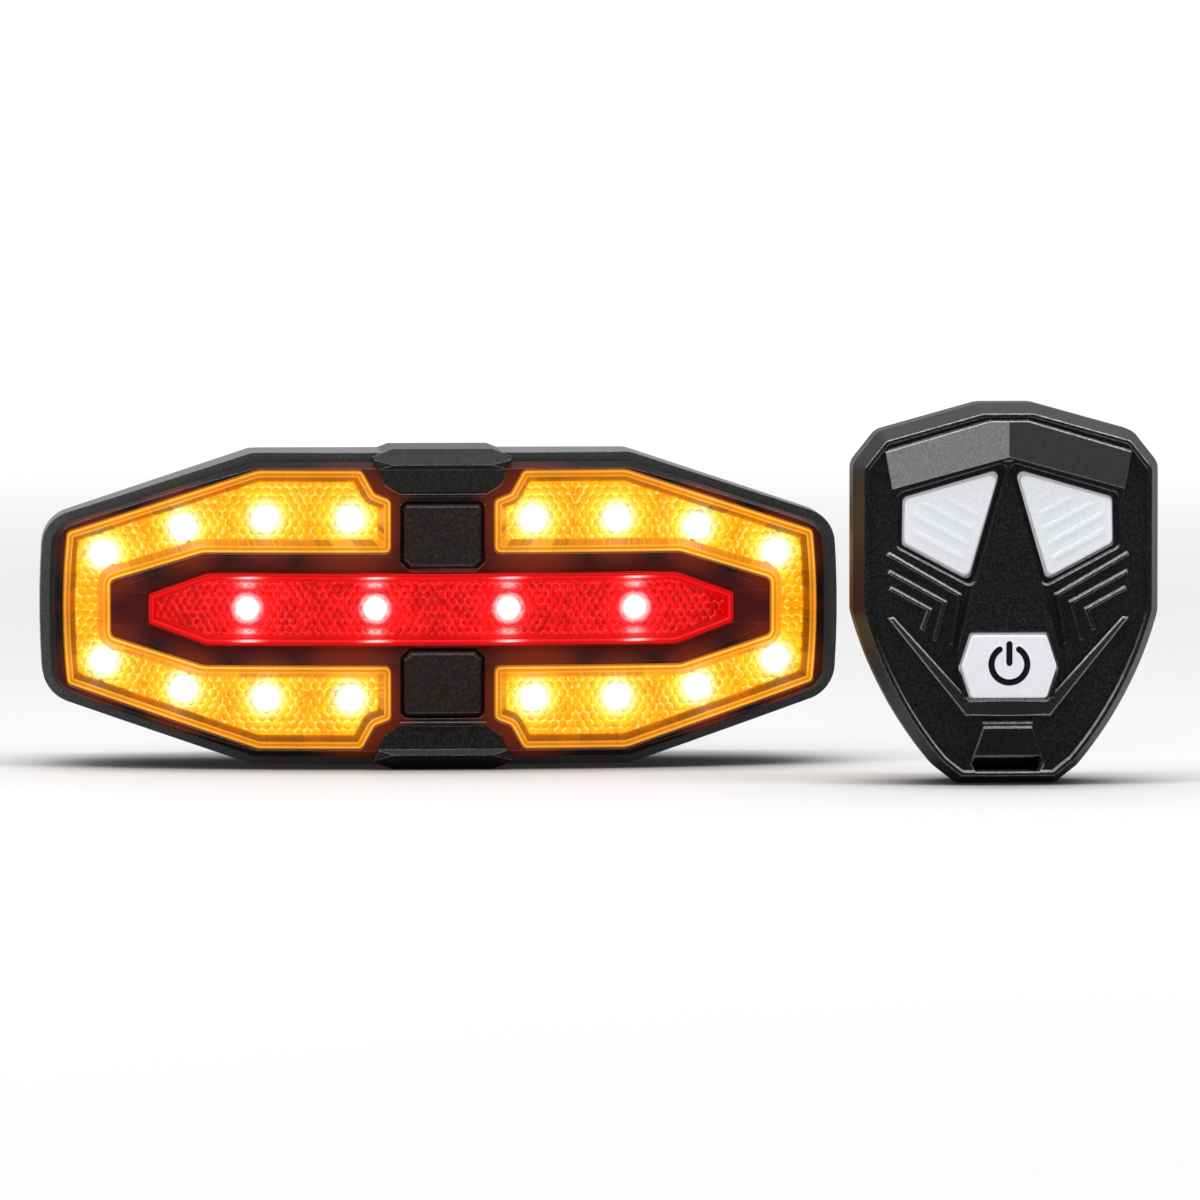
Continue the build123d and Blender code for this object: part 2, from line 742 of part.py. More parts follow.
def face_polygon(shares, grow=0, radius=0):
    face = make_face(Polyline(*[on_face(s) for s in shares], close=True))
    if grow:
        face = offset(face, grow, kind=Kind.INTERSECTION)
    return fillet(face.vertices(), radius) if radius else face


def symmetric_polygon(shares):
    return make_face(Polyline(*[on_face(s) for s in mirrored(shares)], close=True))


def remote_outline(inset=0):
    """The remote's shield: a low gable, straight sides, bowed flanks and a short foot."""
    right = [foot_shares, flank_end_shares, hip_shares, shoulder_shares, brow_corner_shares, crown_shares]
    foot, flank_end, hip, shoulder, brow, crown = [on_face(s) for s in right]
    middle = on_face(flank_middle_shares)
    lines = Polyline(hip, shoulder, brow, crown) + Polyline(foot, flank_end)
    lines += ThreePointArc(flank_end, middle, hip)
    lines = lines + mirror(lines, about=Plane.YZ)
    lines += Line(crown, (-crown[0], crown[1])) + Line(foot, (-foot[0], foot[1]))
    face = make_face(lines)
    if inset:
        face = offset(face, -inset, kind=Kind.INTERSECTION)
    for done, radius in enumerate(remote_corner_radii):
        below = len(face.vertices()) - 4 * done
        pair = face.vertices().sort_by(Axis.Y)[below - 2:below]
        face = fillet(pair, max(radius - inset, radius / 4))
    return face


def remote_prism(face, y_rear, y_front):
    return prism(face, y_rear, y_front, remote)


def remote_block(band_y, end_y, inset, bevel=0):
    """Half of the remote's body: straight from the parting line, then drawn in."""
    straight = remote_prism(remote_outline(), max(remote_part_line, band_y), min(remote_part_line, band_y))
    return straight + drawn_in(remote_outline, band_y, end_y, inset, bevel, remote)


def eye(grow=0, radius=eye_radius):
    return face_polygon(eye_shares, grow, radius)


def hexagon(grow=0, radius=hex_radius):
    right = [(hex_side_half, hex_half_height), (hex_tip_half, 0), (hex_side_half, -hex_half_height)]
    face = Pos(0, hex_centre_height) * polygon(mirrored(right))
    if grow:
        face = offset(face, grow, kind=Kind.INTERSECTION)
    return fillet(face.vertices(), radius)


def relief(shares, side):
    """A raised panel: an outline of the face cut by a profile seen from the side."""
    outline = symmetric_polygon(shares)
    plane = Plane(origin=remote - Vector(remote_width, 0, 0), x_dir=(0, 1, 0), z_dir=(1, 0, 0))
    body = extrude(plane * polygon(side), amount=2 * remote_width)
    return remote_prism(outline, inner_face_y, -remote_front - overrun) & body


def slot_face(rise=0):
    right = [(slot_side_half, slot_height / 2), (slot_tip_half, 0), (slot_side_half, -slot_height / 2)]
    return Pos(0, slot_centre_height + rise) * polygon(mirrored(right))


def above(face, height):
    """The part of a face of the remote that lies above a height."""
    return face & (Pos(0, height + remote_height / 2) * Rectangle(remote_width, remote_height))


def screw_places():
    x, z = on_face(upper_screw_shares)
    return [(-x, z), (x, z), (0, lower_screw_height)]


face_y = -remote_front + remote_lip_height
inner_face_y = face_y + remote_face_wall
inner_back_y = remote_back - remote_back_wall
cavity_floor = slot_centre_height + slot_rise + slot_height / 2 + slot_land
door_seat_y = remote_back - door_plate
cell_back_y = door_seat_y - cell_gap
switch_front = remote_board_y - remote_switch_height
board_rear = remote_board_y + remote_board_thickness
hex_face_y = face_y - nose_base


def make_brow():
    """Two sloping facets that meet in an upright crease over the nose."""
    half = remote_width / 2
    plan = [(0, -brow_crown), (half, -brow_edge), (half, remote_front)]
    roof = Plane(origin=remote + Vector(0, face_y, 0)) * polygon(mirrored(plan))
    brow = remote_prism(symmetric_polygon(brow_shares), inner_face_y, -remote_front - overrun)
    return brow & extrude(roof, amount=remote_height)


def make_nose():
    """The long plane that widens and rises from between the eyes to the power button."""
    low, high = on_face(nose_shares[-1])[1], on_face(nose_shares[0])[1]
    side = [(0, low), (0, high), (face_y - nose_top, high), (face_y - nose_base, low + (high - low) / 3),
            (face_y - nose_base, low)]
    return relief(nose_shares, side)


def make_ribs():
    """Three bent ribs under each eye."""
    ribs = []
    for shares in rib_shares:
        path = [Vector(*on_face(s)) for s in shares]
        for start, end in zip(path, path[1:]):
            run = end - start
            bar = Rot(0, 0, degrees(atan2(run.Y, run.X))) * Rectangle(run.length + rib_width, rib_width)
            ribs.append(remote_prism(Pos((start + end) / 2) * bar, inner_face_y, face_y - rib_proud))
    return ribs


def make_front_cover():
    """The remote's moulded face with its lip, eyes, nose, jaw, ribs and lanyard slot."""
    cover = remote_block(-remote_band_front, -remote_front, remote_side_inset)
    inner = remote_outline(remote_side_inset + remote_lip)
    cover -= remote_prism(inner, face_y, -remote_front - overrun)
    cavity = above(remote_outline(remote_side_inset + remote_wall), cavity_floor)
    cover -= remote_prism(cavity, remote_part_line, inner_face_y)
    cover += make_brow() + make_nose()
    jaw_side = [(0, 0), (0, remote_height), (face_y - jaw_proud, remote_height), (face_y - jaw_proud, 0)]
    cover += relief(jaw_shares, jaw_side)
    chin_low, chin_high = on_face(chin_shares[-1])[1], on_face(chin_shares[0])[1]
    cover += relief(chin_shares, [(0, chin_low), (0, chin_high), (face_y - chin_proud, chin_high),
                                  (face_y - chin_proud, chin_low)])
    for rib in make_ribs():
        for side in both_sides(rib, remote):
            cover += side
    frame = remote_prism(eye(eye_frame), face_y + eye_frame_depth, -remote_front - overrun)
    opening = remote_prism(eye(key_gap), 0, -remote_front - overrun)
    for side in both_sides(frame + opening, remote):
        cover -= side
    cover -= remote_prism(hexagon(key_gap), 0, -remote_front - overrun)
    notch_top = on_face(jaw_shares[0])[1]
    notch = box_face(notch_half_width, notch_top - notch_height, notch_top)
    cover -= remote_prism(notch, face_y + notch_depth, -remote_front - overrun)
    cover -= remote_prism(slot_face(), remote_part_line, -remote_front - overrun)
    for place in screw_places():
        cover += remote_prism(disc(*place, remote_boss_radius), remote_part_line - seat_gap, inner_face_y)
        shoulder = disc(*place, remote_boss_radius + remote_shoulder)
        cover += remote_prism(shoulder, remote_board_y, inner_face_y)
        hole = disc(*place, remote_screw_radius + running_gap)
        cover -= remote_prism(hole, remote_part_line, pilot_end() - seat_gap)
    return cover


def pilot_end():
    return remote_back - remote_screw_sink - remote_screw_head_height - remote_screw_length


def door_centre():
    return remote + Vector(0, 0, cell_height_share * remote_height)


def ring(outer, inner, y_rear, y_front):
    face = Circle(outer) - Circle(inner)
    return prism(face, y_rear, y_front, door_centre())


def sectors(outer, inner, turn):
    """Two facing sectors of a ring, for the door's lugs and their way in."""
    reach = outer * 2
    half = radians(door_lug_angle / 2)
    along, across = reach * cos(half), reach * sin(half)
    wedge = polygon([(0, 0), (along, -across), (along, across)])
    band = Circle(outer) - Circle(inner)
    return [band & (Rot(0, 0, turn + side) * wedge) for side in (0, 180)]


def make_back_cover():
    """The flat back with the coin door's pocket, ledge and lug notches."""
    cover = remote_block(remote_band_back, remote_back, remote_back_inset, remote_back_chamfer)
    cavity = above(remote_outline(remote_back_inset + remote_wall), cavity_floor)
    cover -= remote_prism(cavity, inner_back_y, remote_part_line)
    cover -= prism(Circle(door_radius + running_gap), remote_back + overrun, door_seat_y, door_centre())
    cover -= prism(Circle(door_ring_outer + running_gap), remote_back, 0, door_centre())
    groove = Circle(seal_ring_inner + seal_ring_section) - Circle(seal_ring_inner)
    cover -= prism(groove, door_seat_y, door_seat_y - seal_ring_section, door_centre())
    lug_reach = door_ring_outer + door_lug + running_gap
    for notch in sectors(lug_reach, door_ring_inner, -door_turn):
        cover -= prism(notch, remote_back, 0, door_centre())
    cover -= remote_prism(slot_face(slot_rise), remote_back + overrun, remote_part_line)
    for place in screw_places():
        cover += remote_prism(disc(*place, remote_boss_radius), remote_back - remote_back_chamfer,
                              remote_part_line)
        hole = disc(*place, remote_screw_radius + running_gap)
        cover -= remote_prism(hole, remote_back, remote_part_line)
        head = disc(*place, remote_screw_head + seat_gap)
        cover -= remote_prism(head, remote_back + overrun,
                              remote_back - remote_screw_sink - remote_screw_head_height)
    return cover


def make_door():
    """The round coin door: plate, ring, two lugs and the coin slot."""
    plate = prism(Circle(door_radius), remote_back, door_seat_y, door_centre())
    ledge_y = inner_back_y - running_gap
    lug_y = ledge_y - door_lug_depth
    door = plate + ring(door_ring_outer, door_ring_inner, door_seat_y, lug_y)
    for lug in sectors(door_ring_outer + door_lug, door_ring_inner, 0):
        door += prism(lug, ledge_y, lug_y, door_centre())
    groove = SlotOverall(door_slot_length, door_slot_width)
    return door - prism(groove, remote_back + overrun, remote_back - door_slot_depth, door_centre())


def make_remote_board():
    face = above(remote_outline(remote_board_inset + remote_side_inset), cavity_floor + slide_gap)
    for place in screw_places():
        face -= disc(*place, remote_boss_radius + seat_gap)
    return remote_prism(face, board_rear, remote_board_y)


def eye_middle():
    """The middle of the right eye, where its switch sits."""
    corners = [on_face(s) for s in eye_shares]
    return sum(x for x, z in corners) / len(corners), sum(z for x, z in corners) / len(corners)


def make_key(cap, flange, place, cap_y):
    """A button cap with its flange behind the cover and a post down to the switch."""
    flange_y = inner_face_y + seat_gap
    key = remote_prism(cap, flange_y, cap_y)
    key = fillet(key.faces().sort_by(Axis.Y)[0].edges(), key_edge_radius)
    key += remote_prism(flange, flange_y + key_flange_thickness, flange_y)
    post_y = switch_front - remote_plunger_stand
    return key + remote_prism(disc(*place, key_post_radius), post_y, flange_y)


def make_key_ribs():
    """The slanting parallel ribs on the right turn button, cut to its outline."""
    x, z = on_face(key_rib_shares)
    field = eye(-key_rib_margin)
    ribs = []
    for step in range(key_rib_count):
        lift = (key_rib_count // 2 - step) * key_rib_pitch
        bar = Rot(0, 0, key_rib_slope) * Rectangle(remote_width, key_rib_width)
        bar = field & (Pos(x, z + lift) * bar)
        top_y = face_y - key_proud
        ribs.append(remote_prism(bar, top_y + key_rib_proud, top_y - key_rib_proud))
    return ribs


def make_spring_contact():
    """The bent leaf between the board and the cell's negative side."""
    rise = cell_back_y - cell_thickness - board_rear
    thick, half = contact_thickness, contact_half_length
    outer = [(-half, 0), (-half, thick), (-half / 2, thick), (-half / 4, rise), (half / 4, rise),
             (half / 2, thick), (half, thick), (half, 0), (half / 2 - thick, 0),
             (half / 4 - thick, rise - thick), (-half / 4 + thick, rise - thick), (-half / 2 + thick, 0)]
    plane = Plane(origin=door_centre() + Vector(-contact_width / 2, board_rear, 0),
                  x_dir=(0, 0, -1), z_dir=(1, 0, 0))
    return extrude(plane * polygon(outer), amount=contact_width)


def make_clip_contact():
    """The bent strip that touches the cell's edge."""
    near = cell_radius
    foot = [(near, 0), (near + clip_reach, 0), (near + clip_reach, contact_thickness),
            (near + contact_thickness, contact_thickness), (near + contact_thickness, clip_height),
            (near, clip_height)]
    plane = Plane(origin=door_centre() + Vector(contact_width / 2, board_rear, 0),
                  x_dir=(0, 0, 1), z_dir=(-1, 0, 0))
    return extrude(plane * polygon(foot), amount=contact_width)


def make_cell():
    """The coin cell, its smaller negative side towards the board."""
    full = prism(Circle(cell_radius), cell_back_y, cell_back_y - cell_thickness + cell_step, door_centre())
    small = Circle(cell_radius - cell_rim)
    return full + prism(small, cell_back_y, cell_back_y - cell_thickness, door_centre())


pieces["remote_front_cover"] = make_front_cover()
pieces["remote_back_cover"] = make_back_cover()
pieces["coin_door"] = make_door()
pieces["door_seal"] = ring(seal_ring_inner + seal_ring_section, seal_ring_inner, door_seat_y,
                           door_seat_y - seal_ring_section)
pieces["remote_circuit_board"] = make_remote_board()
eye_key = make_key(eye(), eye(key_gap + key_flange), eye_middle(), face_y - key_proud)
for rib in make_key_ribs():
    eye_key += rib
pieces["right_turn_button"], pieces["left_turn_button"] = both_sides(eye_key, remote)
hex_place = (0, hex_centre_height)
pieces["remote_power_button"] = make_key(hexagon(), hexagon(key_gap + key_flange), hex_place,
                                         hex_face_y - hex_proud)
remote_places = {"right": eye_middle(), "left": (-eye_middle()[0], eye_middle()[1]), "centre": hex_place}
pieces["remote_switches"] = [
    tact_switch(place, remote_switch_size, remote_switch_height, remote_plunger_radius,
                remote_bore_depth, remote_board_y, remote) for place in remote_places.values()]
for name, place in remote_places.items():
    tail = remote_bore_depth - key_travel - seat_gap
    pieces[name + "_switch_plunger"] = plunger(place, remote_plunger_radius, remote_plunger_stand, tail,
                                               switch_front, remote)
chip_face = Pos(0, chip_height_share * remote_height) * Rectangle(chip_size[0], chip_size[1])
pieces["remote_radio_chip"] = remote_prism(chip_face, remote_board_y, remote_board_y - chip_size[2])
pieces["coin_cell"] = make_cell()
pieces["negative_contact"] = make_spring_contact()
pieces["positive_contact"] = make_clip_contact()
pieces["remote_screws"] = [
    screw(place, remote_back - remote_screw_sink, remote_screw_head, remote_screw_head_height,
          remote_screw_radius, remote_screw_length, remote) for place in screw_places()]

os.makedirs("parts", exist_ok=True)
for name, solids in pieces.items():
    piece = Compound(solids) if isinstance(solids, list) else solids
    export_step(piece, "parts/" + name + ".step")
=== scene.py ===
"""Dresses the bicycle turn signal light and its remote: plastics, lit windows, light and
camera. Places are in metres in the frame of the solids; sizes written here are millimetres
times mm. The lamp's windows are drawn in its front view and laid on its bowed front."""
import math
import random
import bmesh
import bpy
from mathutils import Matrix, Vector


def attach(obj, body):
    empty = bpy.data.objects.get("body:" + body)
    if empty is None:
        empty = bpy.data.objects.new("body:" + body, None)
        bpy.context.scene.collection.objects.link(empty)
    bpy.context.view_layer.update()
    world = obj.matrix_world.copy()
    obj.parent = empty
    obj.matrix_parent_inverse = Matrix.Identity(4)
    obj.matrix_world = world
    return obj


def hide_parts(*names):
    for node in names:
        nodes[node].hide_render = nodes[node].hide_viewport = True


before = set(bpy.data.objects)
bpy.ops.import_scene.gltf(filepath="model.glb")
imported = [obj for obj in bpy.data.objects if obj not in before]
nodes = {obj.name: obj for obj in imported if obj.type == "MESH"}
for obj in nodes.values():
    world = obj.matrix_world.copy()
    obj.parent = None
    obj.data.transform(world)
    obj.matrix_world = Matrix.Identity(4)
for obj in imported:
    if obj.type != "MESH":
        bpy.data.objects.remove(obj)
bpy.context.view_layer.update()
mm = 0.001
random.seed(7)

# The lamp's bowed front
bow_radius = 170.0
bow_axis_y = 160.8
lamp_middle = 20.0

# Windows: corners (x, z, corner radius) of the right amber one's upper half and of the red one's
# right upper quarter, and the places of the LEDs
amber_corners = [(46.7, 9.5, 0.8), (23.0, 17.4, 3.0), (10.1, 17.4, 0.8), (8.5, 14.5, 0.8), (6.45, 13.7, 0.8),
                 (6.45, 7.05, 0.8), (29.8, 7.05, 3.0), (41.3, 3.5, 0.8)]
red_corners = [(36.6, 1.85, 0.5), (29.3, 4.5, 3.0)]
end_bow = 0.5
end_bow_radius = 5.0
end_bow_shares = (-0.75, -0.5, -0.25, 0, 0.25, 0.5, 0.75)
amber_led_places = [(11.45, 11.2), (22.0, 11.2), (32.2, 10.1), (42.1, 6.7)]
red_led_places = [(8.35, 0.0), (24.25, 0.0)]
outline_step = 0.8
corner_steps = 5
least_radius = 0.12

# Rims of the windows: their streaks, where a wall counts as the outer end's, how far LEDs light them
streaked_parts = ("wall", "foot")
calm_streak_share = 0.2
end_facing = -0.7
amber_rim_reach = 5.4
amber_rim_heat = 1.1
red_rim_reach = 4.2
red_rim_heat = 1.2
line_half_length = 1.2
blocks_per_mm = 0.35
streaks_per_mm = 2.5

# Pillows of the optic sheets: rings at (share of the reach, share of the rise) round a top
amber_pitch = 1.12
red_pitch = 0.98
amber_margin = 1.25
red_margin = 0.8
sheet_depth = 2.95
sheet_half_width = 50
sheet_half_height = 20
pillow_points = 12
pillow_turn = 360 / pillow_points
pillow_rings = [(1.0, 0.0), (0.86, 0.45), (0.6, 0.82), (0.3, 0.97)]
pillow_round_share = 0.94
pillow_rise = 0.3
pillow_rise_shares = (0.65, 1.15)
pillow_shift_share = 0.08
merge_distance = 0.01
core_start = 1.2
core_end = 1.7
least_ray = 0.01

# Smears that the red LEDs throw at the window's edges
smear_half_length = 1.0
smear_height = 2.9
smear_half_width = 0.32

# Glow of the pillows: sizes of two noises, and spans over which glints, seams and shade come in
fine_size = 0.6
patch_size = 2.6
wobble = 0.25
glint_span = (0.28, 0.6)
glint_boost = 1.5
seam_span = (0.82, 0.98)
seam_break_span = (0.44, 0.58)
hollow_span = (-0.6, 0.1)
patch_span = (0.36, 0.56)

# Remote: its middle, its jaw band's right half, and the power symbol on its hexagonal button
remote_x = 68.0
remote_face_y = -38.15
jaw_right_half = [(0.0, 8.55), (5.2, 8.55), (14.85, 20.6), (14.1, 20.75), (4.75, 10.45), (0.0, 10.45)]
jaw_proud = 0.6
jaw_bevel = 0.12
jaw_bevel_segments = 2
hex_front_y = -40.25
symbol_z = 14.95
symbol_radius = 2.2
symbol_stroke = 0.8
symbol_gap = 33.0
symbol_bar_low = 0.2
symbol_bar_high = 2.5
symbol_height = 0.06
symbol_seat = 0.16
seat_height_share = 0.25
symbol_ring_steps = 48
symbol_bar_steps = 6
stroke_end_turns = (30, 60, 80, 88)
stroke_round_step = 20

# Light painted on the plastics: where edges take a painted highlight, how far the windows throw a painted
# glow, and which brow slope is painted lighter
lit_from = (-0.05, -0.2, 0.98)
edge_up_span = (0.11, 0.36)
edge_down_span = (-0.1, -0.4)
edge_open_span = (0.7, 0.92)
edge_reach = 0.6
amber_spill = (0.15, 0.013, 0.001)
red_spill = (0.05, 0.0006, 0.0006)
amber_spill_reach = 6.9
amber_spill_full = 3.0
amber_spill_squeezes = (0.75, 1.0, 1.0, 1.0)
red_spill_reach = 3.4
brow_leans = (-0.06, 0.06)
brow_lean_width = 0.015
brow_facing_width = 0.01
brow_grain_span = (0.35, 0.65)
brow_grain_strengths = (0.7, 1.0)

# Grain of the plastics and brushing of the metals: sizes, spans of the noise and what they do
cloud_size = 9.0
fleck_span = (0.42, 0.66)
cloud_span = (0.3, 0.7)
cloud_strengths = (0.7, 1.0)
line_break_span = (0.35, 0.6)
line_break_strengths = (0.45, 1.0)
noise_span = (0.3, 0.7)
moulded_rough_change = (-0.07, 0.09)
brush_size = 0.6
brush_stretch = 12.0
brush_relief = 0.002
brush_rough_change = (-0.1, 0.12)
metal_rounding = 0.08

# Covers of the windows
cover_roughness = 0.12
cover_index = 1.45
cover_shine = 0.14

# Floor: its tone, the painted contact shadow where something stands on it, and its glow at distances in
# metres
floor_half = 20.0
floor_tone = (0.56, 0.56, 0.56)
contact_shadow_tone = (0.05, 0.047, 0.045)
contact_reach = 14.0
contact_span = (0.15, 1.0)
glow_distances = (0.1, 1.3)
glow_strengths = (0.02, 0.64)

# Studio: softboxes as (place, aim, size, power), the world behind and above, and what the eye sees
softboxes = {"top_light": ((0.02, -0.12, 0.55), (0.02, -0.02, 0.02), (0.8, 0.08), 2.2),
             "left_light": ((-0.5, -0.28, 0.25), (0.03, -0.02, 0.02), (0.06, 0.5), 1.2),
             "right_light": ((0.62, -0.22, 0.25), (0.05, -0.02, 0.02), (0.06, 0.4), 0.7)}
back_span = (0.0, 0.8)
back_strengths = (0.03, 0.9)
top_span = (0.3, 0.9)
top_strengths = (0.0, 1.3)
world_seen = 1.05
haze = {"Threshold": 1.2, "Strength": 0.09, "Size": 0.25, "Smoothness": 0.2}

# Camera: where the lamp's middle lies in the 1200 pixel frame, and the size of a pixel there
frame_pixels = 1200
lamp_pixel_x = 443.0
lamp_pixel_z = 609.8
pixel = 0.1246 * mm
camera_azimuth = -3.4
camera_elevation = 3.5
camera_distance = 1.6
camera_clip = (0.1, 60)
sensor = 36.0


def srgb(code, strength=1.0):
    """A linear colour from a web colour code."""
    parts = [int(code[i:i + 2], 16) / 255 for i in (0, 2, 4)]
    return [strength * (p / 12.92 if p <= 0.04045 else ((p + 0.055) / 1.055) ** 2.4) for p in parts]


def lit(code, strength, heat):
    """A glow whose red is overexposed, as amber and red LEDs are to a camera."""
    red, green, blue = srgb(code, strength)
    return [red * heat, green, blue]


def mixed(a, b, share):
    return [x + (y - x) * share for x, y in zip(a, b)]


def ramp(stops, value):
    """The colour at a value between stops of (value, colour)."""
    for (low, first), (high, second) in zip(stops, stops[1:]):
        if value <= high:
            share = max(0.0, (value - low) / (high - low))
            return mixed(first, second, share * share * (3 - 2 * share))
    return stops[-1][1]


# Materials

def socket(sockets, key):
    """A socket by its number or its name."""
    if isinstance(key, int):
        return sockets[key]
    return next(s for s in sockets if s.enabled and key in (s.name, s.identifier))


def add(material, kind, inputs=None, **settings):
    """Adds a node to a material, with its settings and with its sockets set or linked."""
    tree = material.node_tree
    node = tree.nodes.new(kind)
    for key, value in settings.items():
        setattr(node, key, value)
    for key, value in (inputs or {}).items():
        if isinstance(value, bpy.types.Node):
            value = next(s for s in value.outputs if s.enabled)
        if isinstance(value, bpy.types.NodeSocket):
            tree.links.new(value, socket(node.inputs, key))
        else:
            socket(node.inputs, key).default_value = value
    return node


def principled(name, values):
    """A new material with its main shader's sockets set."""
    material = bpy.data.materials.new(name)
    material.use_nodes = True
    surface = material.node_tree.nodes["Principled BSDF"]
    for key, value in values.items():
        surface.inputs[key].default_value = value
    return material, surface


def link(material, output, target):
    if isinstance(output, bpy.types.Node):
        output = next(s for s in output.outputs if s.enabled)
    material.node_tree.links.new(output, target)


def between(material, value, low, high, first, last):
    """A smooth step of a value, from first at low to last at high."""
    return add(material, "ShaderNodeMapRange", {"Value": value, "From Min": low, "From Max": high,
                                                "To Min": first, "To Max": last},
               interpolation_type="SMOOTHSTEP")


def straight(material, value, low, high, first, last):
    """A straight slope of a value, from first at low to last at high."""
    return add(material, "ShaderNodeMapRange", {"Value": value, "From Min": low, "From Max": high,
                                                "To Min": first, "To Max": last})


def maths(material, operation, *values):
    """A number worked out from numbers."""
    return add(material, "ShaderNodeMath", dict(enumerate(values)), operation=operation)


def vector(material, operation, *values):
    """A vector worked out from vectors."""
    return add(material, "ShaderNodeVectorMath", dict(enumerate(values)), operation=operation)


def measured(material, operation, *values):
    """A number worked out from vectors."""
    return vector(material, operation, *values).outputs["Value"]


def scaled(material, colour, share):
    """A colour times a number that comes from a node."""
    return add(material, "ShaderNodeVectorMath", {0: colour, "Scale": share}, operation="SCALE")


def blended(material, share, a, b, **settings):
    """A blend of two colours, each from a node or as three numbers."""
    a, b = ((*colour, 1) if isinstance(colour, (list, tuple)) else colour for colour in (a, b))
    return add(material, "ShaderNodeMix", {"Factor": share, "A": a, "B": b}, data_type="RGBA", **settings)


def noise(material, place, size, detail, roughness=0.5):
    """Noise whose clouds are about a size across."""
    return add(material, "ShaderNodeTexNoise", {"Vector": place, "Scale": 1 / (size * mm), "Detail": detail,
                                                "Roughness": roughness})


def own_place(material):
    """The place of a point in its object's own frame."""
    return add(material, "ShaderNodeTexCoord").outputs["Object"]


def carried(material, name, output="Fac"):
    """A layer that the mesh carries."""
    return add(material, "ShaderNodeAttribute", attribute_name=name).outputs[output]


def make_glow(material, surface, colour):
    """Makes a surface glow in a colour that comes from a node."""
    link(material, colour, surface.inputs["Emission Color"])
    surface.inputs["Emission Strength"].default_value = 1.0


def edge_highlight_mask(material, rounded_normal, under):
    """Where an edge takes a painted highlight: full where it turns up, and a share of that where an outer
    edge turns down."""
    flat = add(material, "ShaderNodeNewGeometry").outputs["Normal"]
    upward = measured(material, "DOT_PRODUCT", vector(material, "SUBTRACT", rounded_normal, flat), lit_from)
    clear = add(material, "ShaderNodeAmbientOcclusion", {"Distance": edge_reach * mm}, samples=4)
    outer = maths(material, "MULTIPLY", between(material, upward, *edge_down_span, 0.0, under),
                  between(material, clear.outputs["AO"], *edge_open_span, 0.0, 1.0))
    return maths(material, "MAXIMUM", between(material, upward, *edge_up_span, 0.0, 1.0), outer)


def amber_spilled(material, quarter):
    """How much orange light reaches a point of the front's right upper quarter, by its distance
    from the nearest LED; the one beside the spine counts as nearer than it is."""
    least = None
    for (x, z), squeeze in zip(amber_led_places, amber_spill_squeezes):
        away = measured(material, "DISTANCE", quarter, (x * mm, 0, z * mm))
        away = maths(material, "MULTIPLY", away, squeeze)
        least = away if least is None else maths(material, "MINIMUM", least, away)
    return between(material, least, amber_spill_reach * mm, amber_spill_full * mm, 0.0, 1.0)


def red_spilled(material, quarter):
    """How much red light reaches a point of the front's right upper quarter, by its distance from
    the red window's top and slanted tip."""
    (tip_x, tip_z, _), (flat_x, flat_z, _) = red_corners
    slope = Vector((flat_z - tip_z, 0, tip_x - flat_x)).normalized()
    slanted = maths(material, "SUBTRACT", measured(material, "DOT_PRODUCT", quarter, slope),
                    slope.dot(Vector((tip_x, 0, tip_z))) * mm)
    height = add(material, "ShaderNodeSeparateXYZ", {"Vector": quarter}).outputs["Z"]
    outside = maths(material, "MAXIMUM", slanted, maths(material, "SUBTRACT", height, flat_z * mm))
    return between(material, outside, red_spill_reach * mm, 0.0, 0.0, 1.0)


def spilled_light(material):
    """The red and orange light that the windows throw on the plastic beside them, painted on as a glow."""
    centred = vector(material, "SUBTRACT", own_place(material), (0, 0, lamp_middle * mm))
    quarter = vector(material, "ABSOLUTE", vector(material, "MULTIPLY", centred, (1, 0, 1)))
    return vector(material, "ADD", scaled(material, amber_spill, amber_spilled(material, quarter)),
                  scaled(material, red_spill, red_spilled(material, quarter)))


def moulded(name, colour, tint, roughness, grain, relief, rounding=0.16, specular=0.2, glow=0.0,
            line=(0.2, 0.2, 0.2), under=0.2, spill=False, brow=None):
    """Moulded plastic: flecks of a tint on a colour, grain of a size and relief, and soft edges with a
    painted highlight of the line colour where they turn up. It can glow evenly, which is painted light, or
    take a painted glow of the light that the windows spill; a brow's slopes can be painted lighter."""
    material, surface = principled(name, {"Specular IOR Level": specular, "Emission Strength": glow,
                                          "Emission Color": (*colour, 1)})
    place = own_place(material)
    speckle = noise(material, place, grain, 2.0, roughness=0.55)
    cloud = noise(material, place, cloud_size, 3.0)
    flecks = maths(material, "MULTIPLY", between(material, speckle, *fleck_span, 0.0, 1.0),
                   between(material, cloud, *cloud_span, *cloud_strengths))
    tone = blended(material, flecks, colour, tint)
    if brow:
        tone = lit_brow(material, tone, speckle, brow)
    edge = add(material, "ShaderNodeBevel", {"Radius": rounding * mm}, samples=6)
    # painted highlight: the base colour goes towards the line colour where an edge turns to the light
    lines = maths(material, "MULTIPLY", edge_highlight_mask(material, edge.outputs["Normal"], under),
                  straight(material, speckle, *line_break_span, *line_break_strengths))
    rough = straight(material, speckle, *noise_span, *(roughness + change for change in moulded_rough_change))
    bump = add(material, "ShaderNodeBump", {"Height": speckle, "Distance": relief * mm, "Normal": edge})
    link(material, blended(material, lines, tone, line), surface.inputs["Base Color"])
    link(material, rough, surface.inputs["Roughness"])
    link(material, bump, surface.inputs["Normal"])
    if spill:
        make_glow(material, surface, spilled_light(material))
    return material


